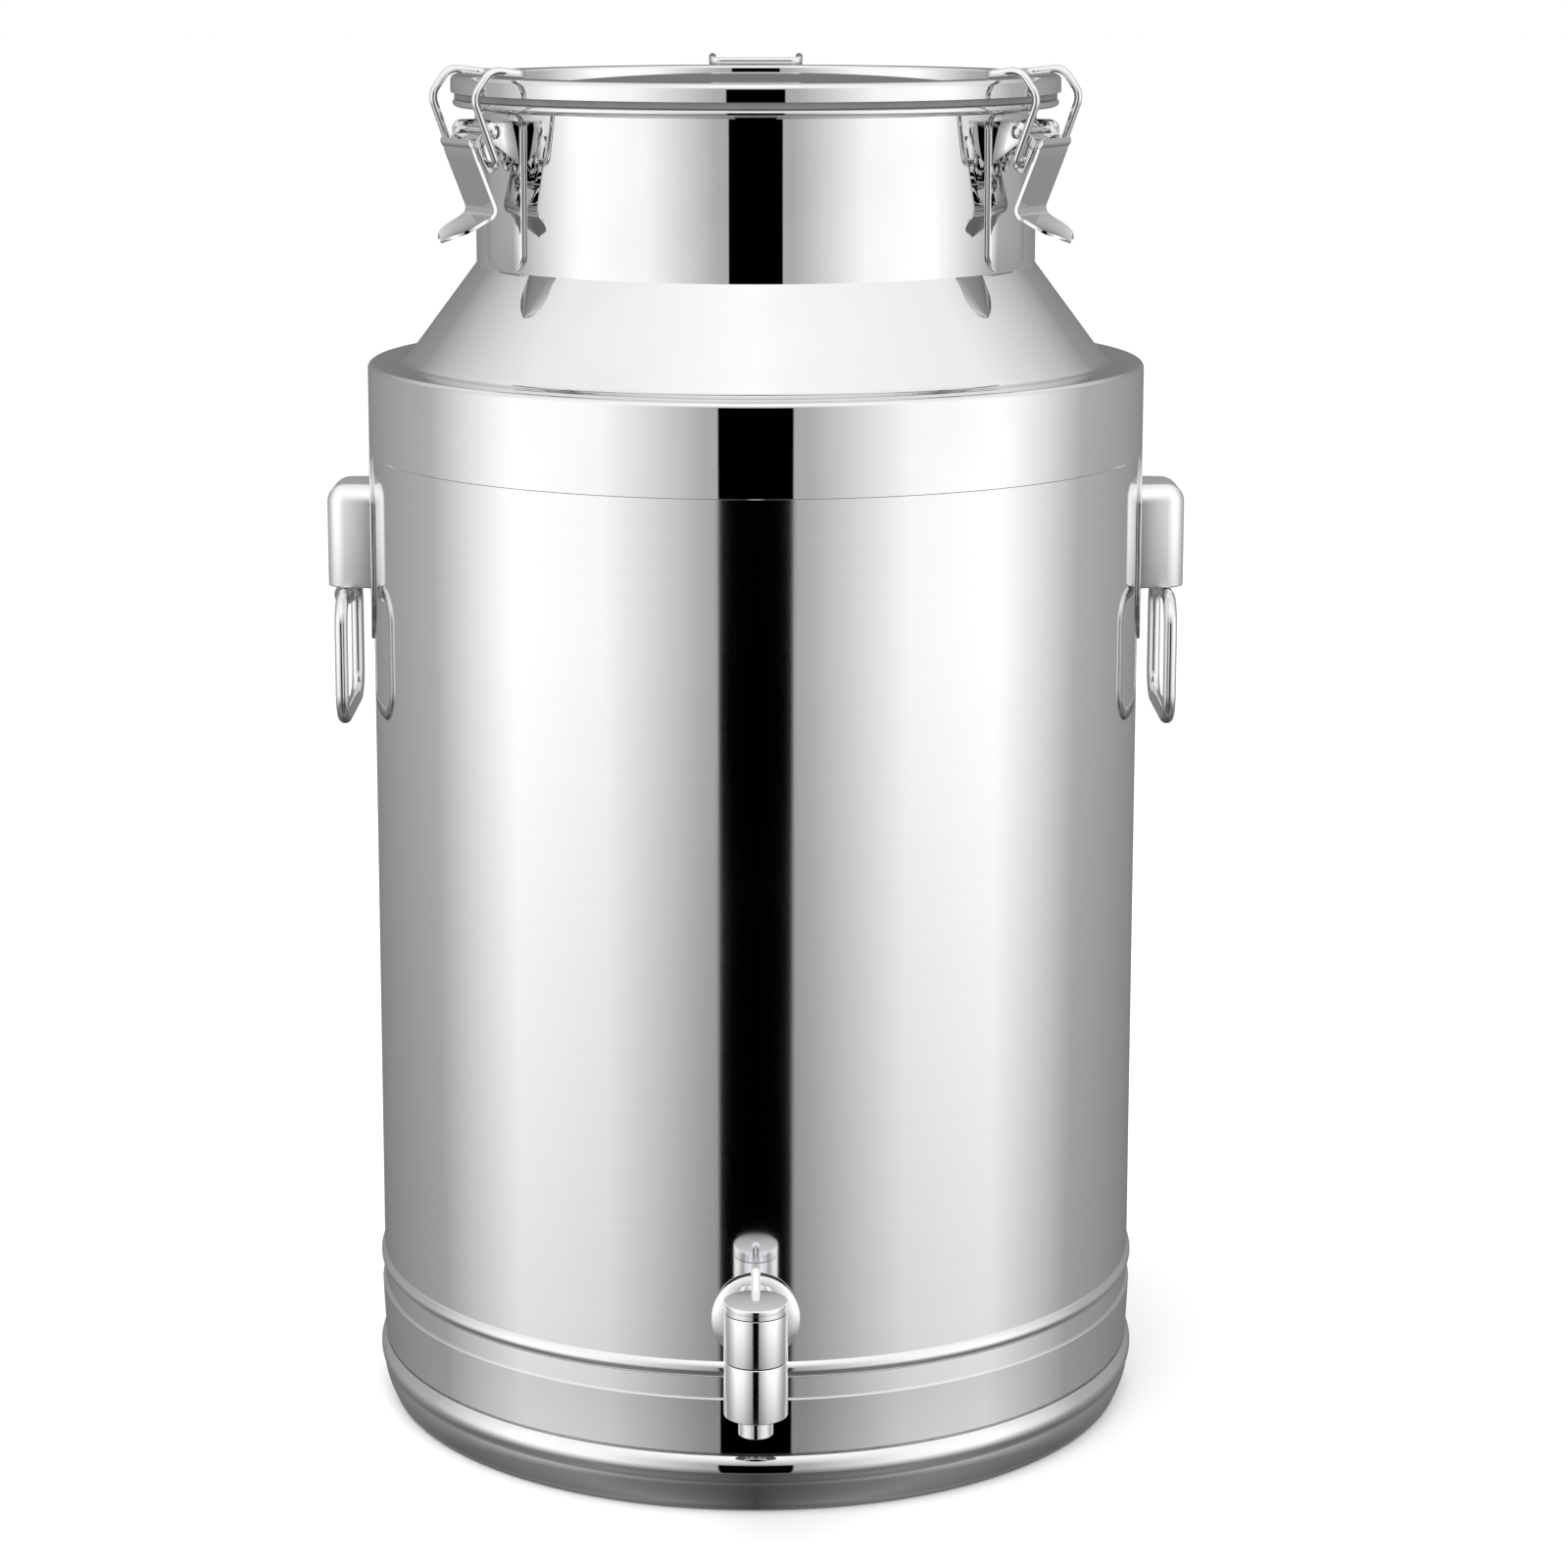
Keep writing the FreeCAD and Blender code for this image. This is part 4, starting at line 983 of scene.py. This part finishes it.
# ---------------------------------------------------------------- stage


# Brightness of the studio light at each bearing off the front, the same to left and right,
# as (degrees, brightness): by the horizon, near the ground and overhead.
SIDES = [(0, 0.35), (15, 0.4), (45, 0.9), (75, 1.0), (110, 0.4), (180, 0.15)]
GROUND = [(0, 0.05), (60, 0.2), (180, 0.05)]
CEILING = [(0, 0.95), (180, 0.7)]
# The heights, in degrees, over which one list fades into the next.
FADES = ((-40, -10, SIDES), (15, 45, CEILING))
# The dark gap: how far it reaches either side, up and down, with its soft edge, in degrees.
GAP_SIDE, GAP_ABOVE, GAP_BELOW = (10.5, 11), (10, 15), (-35, -30)
GLOW_STRENGTH = 1.3
FLOOR_GAP = 0.2 * MM
SCATTERED_EXTRA = 0.30


def studio_world():
    """A light with two broad bright panels and a dark gap, seen only in reflections.

    The camera and scattered rays see plain white, a little stronger for scattered rays.
    """
    world = bpy.data.worlds.new("studio")
    bpy.context.scene.world = world
    world.use_nodes = True
    tree = world.node_tree
    tree.nodes.clear()
    where = tree.nodes.new("ShaderNodeTexCoord")
    parts = tree.nodes.new("ShaderNodeSeparateXYZ")
    link(tree, where.outputs["Generated"], parts.inputs[0])
    x, y, z = parts.outputs
    bearing = maths(tree, "ARCTAN2", x, maths(tree, "MULTIPLY", y, -1.0))
    turn = maths(tree, "DIVIDE", bearing, math.pi)
    rise = maths(tree, "DIVIDE", maths(tree, "ARCSINE", z), math.pi / 2)
    off_centre = maths(tree, "ABSOLUTE", turn)
    whole = panel_ramp(tree, off_centre, GROUND)
    for start, end, stops in FADES:
        share = remap(tree, rise, start / 90, end / 90, 0.0, 1.0)
        whole = blend(tree, share, whole, panel_ramp(tree, off_centre, stops))
    side = remap(tree, off_centre, GAP_SIDE[0] / 180, GAP_SIDE[1] / 180, 0.0, 1.0)
    above = remap(tree, rise, GAP_ABOVE[0] / 90, GAP_ABOVE[1] / 90, 0.0, 1.0)
    below = remap(tree, rise, GAP_BELOW[0] / 90, GAP_BELOW[1] / 90, 1.0, 0.0)
    lit = maths(tree, "MAXIMUM", side, maths(tree, "MAXIMUM", above, below))
    gapped = tree.nodes.new("ShaderNodeVectorMath")
    gapped.operation = "SCALE"
    link(tree, whole, gapped.inputs[0])
    link(tree, lit, gapped.inputs["Scale"])
    glow = tree.nodes.new("ShaderNodeBackground")
    link(tree, gapped.outputs[0], glow.inputs["Color"])
    glow.inputs["Strength"].default_value = GLOW_STRENGTH
    plain = tree.nodes.new("ShaderNodeBackground")
    plain.inputs["Color"].default_value = (1.0, 1.0, 1.0, 1)
    path = tree.nodes.new("ShaderNodeLightPath")
    scattered = path.outputs["Is Diffuse Ray"]
    link(tree, maths(tree, "ADD", maths(tree, "MULTIPLY", scattered, SCATTERED_EXTRA), 1.0),
         plain.inputs["Strength"])
    pick = tree.nodes.new("ShaderNodeMixShader")
    link(tree, maths(tree, "MAXIMUM", path.outputs["Is Camera Ray"], scattered), pick.inputs[0])
    link(tree, glow.outputs[0], pick.inputs[1])
    link(tree, plain.outputs[0], pick.inputs[2])
    out = tree.nodes.new("ShaderNodeOutputWorld")
    link(tree, pick.outputs[0], out.inputs["Surface"])


def panel_ramp(tree, off_centre, stops):
    """A band of brightness round the horizon, from (degrees, brightness) stops."""
    ramp = tree.nodes.new("ShaderNodeValToRGB")
    link(tree, off_centre, ramp.inputs[0])
    marks = ramp.color_ramp.elements
    while len(marks) > 1:
        marks.remove(marks[-1])
    for index, (degrees, value) in enumerate(stops):
        place = degrees / 180
        mark = marks[0] if index == 0 else marks.new(place)
        mark.position = place
        mark.color = (value, value, value, 1)
    return ramp.outputs["Color"]


def blend(tree, share, first, second):
    """A mix of two colours."""
    mix = tree.nodes.new("ShaderNodeMix")
    mix.data_type = "RGBA"
    link(tree, share, mix.inputs["Factor"])
    link(tree, first, mix.inputs["A"])
    link(tree, second, mix.inputs["B"])
    return mix.outputs["Result"]


def soft_light(name, place, target, size, power):
    """A soft square light aimed at a point, not seen in reflections."""
    lamp = bpy.data.lights.new(name, "AREA")
    lamp.shape = "SQUARE"
    lamp.size = size
    lamp.energy = power
    light = bpy.data.objects.new(name, lamp)
    light.location = place
    aim = Vector(target) - Vector(place)
    light.rotation_euler = aim.to_track_quat("-Z", "Y").to_euler()
    light.visible_glossy = False
    light.visible_camera = False
    bpy.context.collection.objects.link(light)


def camera_at(place, pitch, lens, shift):
    """The camera, looking along +Y and down by an angle in degrees."""
    data = bpy.data.cameras.new("camera")
    data.lens = lens
    data.sensor_width = 36
    data.shift_x, data.shift_y = shift
    data.clip_end = 50
    camera = bpy.data.objects.new("camera", data)
    bpy.context.collection.objects.link(camera)
    camera.location = place
    camera.rotation_euler = (math.radians(90 - pitch), 0, 0)
    bpy.context.scene.camera = camera


# ---------------------------------------------------------------- operators


class MILKCAN_OT_finishes(bpy.types.Operator):
    """Make every finish and give each CAD node its own"""
    bl_idname = "milkcan.finishes"
    bl_label = "Finishes"

    def execute(self, context):
        all_materials(context.scene.milk_can_finish)
        slots = {row["node"]: row["material_slot"] for row in frame["record"]["subparts"]}
        for name, node in frame["nodes"].items():
            node.data.materials.clear()
            node.data.materials.append(finish_of(slots[name]))
        return {"FINISHED"}


class MILKCAN_OT_vessel(bpy.types.Operator):
    """Build the barrel, shoulder, neck, foot ring and bottom"""
    bl_idname = "milkcan.vessel"
    bl_label = "Vessel"

    def execute(self, context):
        sizes = context.scene.milk_can_sizes
        settle(barrel_piece(sizes), "vessel", "satin_steel", "barrel_shell")
        settle(shoulder_piece(sizes), "vessel", "polished_steel", "shoulder_shell", "shoulder_cone")
        settle(neck_piece(sizes), "vessel", "polished_steel", "neck_ring", "mouth_ring")
        settle(foot_piece(sizes), "vessel", "polished_steel", "foot_ring")
        settle(bottom_piece(sizes), "vessel", "satin_steel", "bottom_plate")
        return {"FINISHED"}


class MILKCAN_OT_lid(bpy.types.Operator):
    """Build the lid and its gasket"""
    bl_idname = "milkcan.lid"
    bl_label = "Lid"

    def execute(self, context):
        sizes = context.scene.milk_can_sizes
        lid = spun("lid", lid_profile(sizes))
        settle(lid, "lid", "polished_steel", "lid_shell")
        settle(gasket_piece(sizes), "lid", "silicone", "lid_gasket")
        return {"FINISHED"}


class MILKCAN_OT_latches(bpy.types.Operator):
    """Build one latch and copy it to its three places"""
    bl_idname = "milkcan.latches"
    bl_label = "Latches"

    def execute(self, context):
        kinds = [(latch_base_piece(), "base", "vessel", "polished_steel"),
                 (latch_pin_piece(), "pivot_pin", "vessel", "steel_wire"),
                 (lever_piece(), "lever", "latch_{}_lever_arm", "polished_steel"),
                 (bail_piece(), "bail", "latch_{}_bail_wire", "steel_wire")]
        for model, part, body, slot in kinds:
            for side, spin in LATCH_SIDES.items():
                piece = turned_out(model, spin, f"{side}_latch_{part}")
                settle(piece, body.format(side), slot, f"latch_{side}_{part}")
            bpy.data.objects.remove(model, do_unlink=True)
        return {"FINISHED"}


class MILKCAN_OT_handles(bpy.types.Operator):
    """Build one side handle and copy it to both sides"""
    bl_idname = "milkcan.handles"
    bl_label = "Side handles"

    def execute(self, context):
        kinds = [(handle_plate_piece(), "plate", "vessel", "polished_steel"),
                 (handle_bracket_piece(), "bracket", "vessel", "polished_steel"),
                 (handle_ring_piece(), "ring", "handle_{}_grip", "steel_wire")]
        for model, part, body, slot in kinds:
            for side, spin in HANDLE_SIDES.items():
                piece = turned_out(model, spin, f"{side}_handle_{part}")
                settle(piece, body.format(side), slot, f"handle_{side}_{part}")
                if part == "bracket":
                    # The brackets take the lightened steel, whose extra brightness is painted
                    # sheen.
                    piece.data.materials[0] = finish_of("drawn_steel_painted_sheen")
            bpy.data.objects.remove(model, do_unlink=True)
        return {"FINISHED"}


class MILKCAN_OT_tap(bpy.types.Operator):
    """Build the drain tap"""
    bl_idname = "milkcan.tap"
    bl_label = "Tap"

    def execute(self, context):
        back = 191.8 * MM
        bore, edge = 10.5 * MM, 20.5 * MM
        rim = (edge, back + 1.1 * MM)
        face = bulge(rim, (bore, TAP_FRONT), 0.7 * MM)
        rosette = level_turning("tap_plate", [(bore, back), (edge, back), rim, *face,
                                              (bore, TAP_FRONT)])
        settle(rosette, "vessel", "tap_chrome", "tap_rosette")
        settle(tap_body_piece(), "vessel", "tap_chrome", "tap_body")
        outer = TAP_RADIUS
        low, high, step = 65.3 * MM, 91.3 * MM, 80 * MM
        bore, recess = 6 * MM, 11.5 * MM
        sleeve = upright_turning("tap_sleeve", [
            (bore, low), *eased(outer, low, high, 0.5 * MM), (recess, high),
            (recess, step), (bore, step)])
        settle(sleeve, "vessel", "tap_chrome", "tap_outlet")
        tip, eased_tip, top = 55.7 * MM, 56.1 * MM, 68.3 * MM
        spout = upright_turning("tap_spout", [
            (5 * MM, eased_tip), (5.4 * MM, tip), (7.6 * MM, tip), (8 * MM, eased_tip),
            (8 * MM, low), (bore, low), (bore, top), (5 * MM, top)], 64)
        settle(spout, "vessel", "tap_chrome", "tap_nozzle")
        low, top = 114.6 * MM, 119.3 * MM
        knob = upright_turning("tap_top", [
            (0, low + 0.1 * MM), (outer - 0.2 * MM, low), (outer, low + 0.2 * MM),
            (outer, top - 2.4 * MM), (outer - 0.35 * MM, top - 2.2 * MM),
            (outer - 0.35 * MM, top - 1.6 * MM), (outer, top - 1.4 * MM),
            *arc((outer - 0.6 * MM, top - 0.6 * MM), 0.6 * MM, 0, 90, 6), (0, top)])
        settle(knob, "tap_handle", "tap_chrome", "tap_knob")
        settle(tap_lever_piece(), "tap_handle", "tap_chrome", "tap_lever")
        return {"FINISHED"}


class MILKCAN_OT_stage(bpy.types.Operator):
    """Lay the floor, set the light and place the camera"""
    bl_idname = "milkcan.stage"
    bl_label = "Stage"

    def execute(self, context):
        deselect()
        bpy.ops.mesh.primitive_circle_add(vertices=128, radius=30, fill_type="NGON",
                                          location=(0, 0, CAD_LOW.z - FLOOR_GAP))
        floor = bpy.context.object
        floor.name = "floor"
        floor.data.materials.append(pale_floor())
        floor.visible_glossy = False
        studio_world()
        soft_light("overhead", place=(-0.3, -0.6, 2.4), target=(0, 0, 0.3), size=1.6, power=30)
        camera_at(place=(0.0, -1.8962, 0.7243), pitch=9.896, lens=88.24, shift=(0.018, -0.105))
        context.scene.view_settings.view_transform = "Standard"
        return {"FINISHED"}


class MILKCAN_PT_panel(bpy.types.Panel):
    """Lists the can's parts in the sidebar"""
    bl_idname = "MILKCAN_PT_panel"
    bl_label = "Milk can"
    bl_space_type = "VIEW_3D"
    bl_region_type = "UI"
    bl_category = "Milk can"

    def draw(self, context):
        for step in STEPS:
            self.layout.operator(step.bl_idname)
        for group in (context.scene.milk_can_sizes, context.scene.milk_can_finish):
            for name in type(group).__annotations__:
                self.layout.prop(group, name)


STEPS = (MILKCAN_OT_finishes, MILKCAN_OT_vessel, MILKCAN_OT_lid, MILKCAN_OT_latches,
         MILKCAN_OT_handles, MILKCAN_OT_tap, MILKCAN_OT_stage)
CLASSES = (MilkCanSizes, MilkCanFinish, *STEPS, MILKCAN_PT_panel)


def register():
    """Adds the classes and the scene's settings."""
    for item in CLASSES:
        bpy.utils.register_class(item)
    bpy.types.Scene.milk_can_sizes = bpy.props.PointerProperty(type=MilkCanSizes)
    bpy.types.Scene.milk_can_finish = bpy.props.PointerProperty(type=MilkCanFinish)


def unregister():
    """Takes the settings and the classes away."""
    del bpy.types.Scene.milk_can_sizes
    del bpy.types.Scene.milk_can_finish
    for item in reversed(CLASSES):
        bpy.utils.unregister_class(item)


def main():
    """Builds the can piece by piece."""
    register()
    for step in STEPS:
        group, name = step.bl_idname.split(".")
        getattr(getattr(bpy.ops, group), name)()
    deselect()


if __name__ == "__main__":
    main()
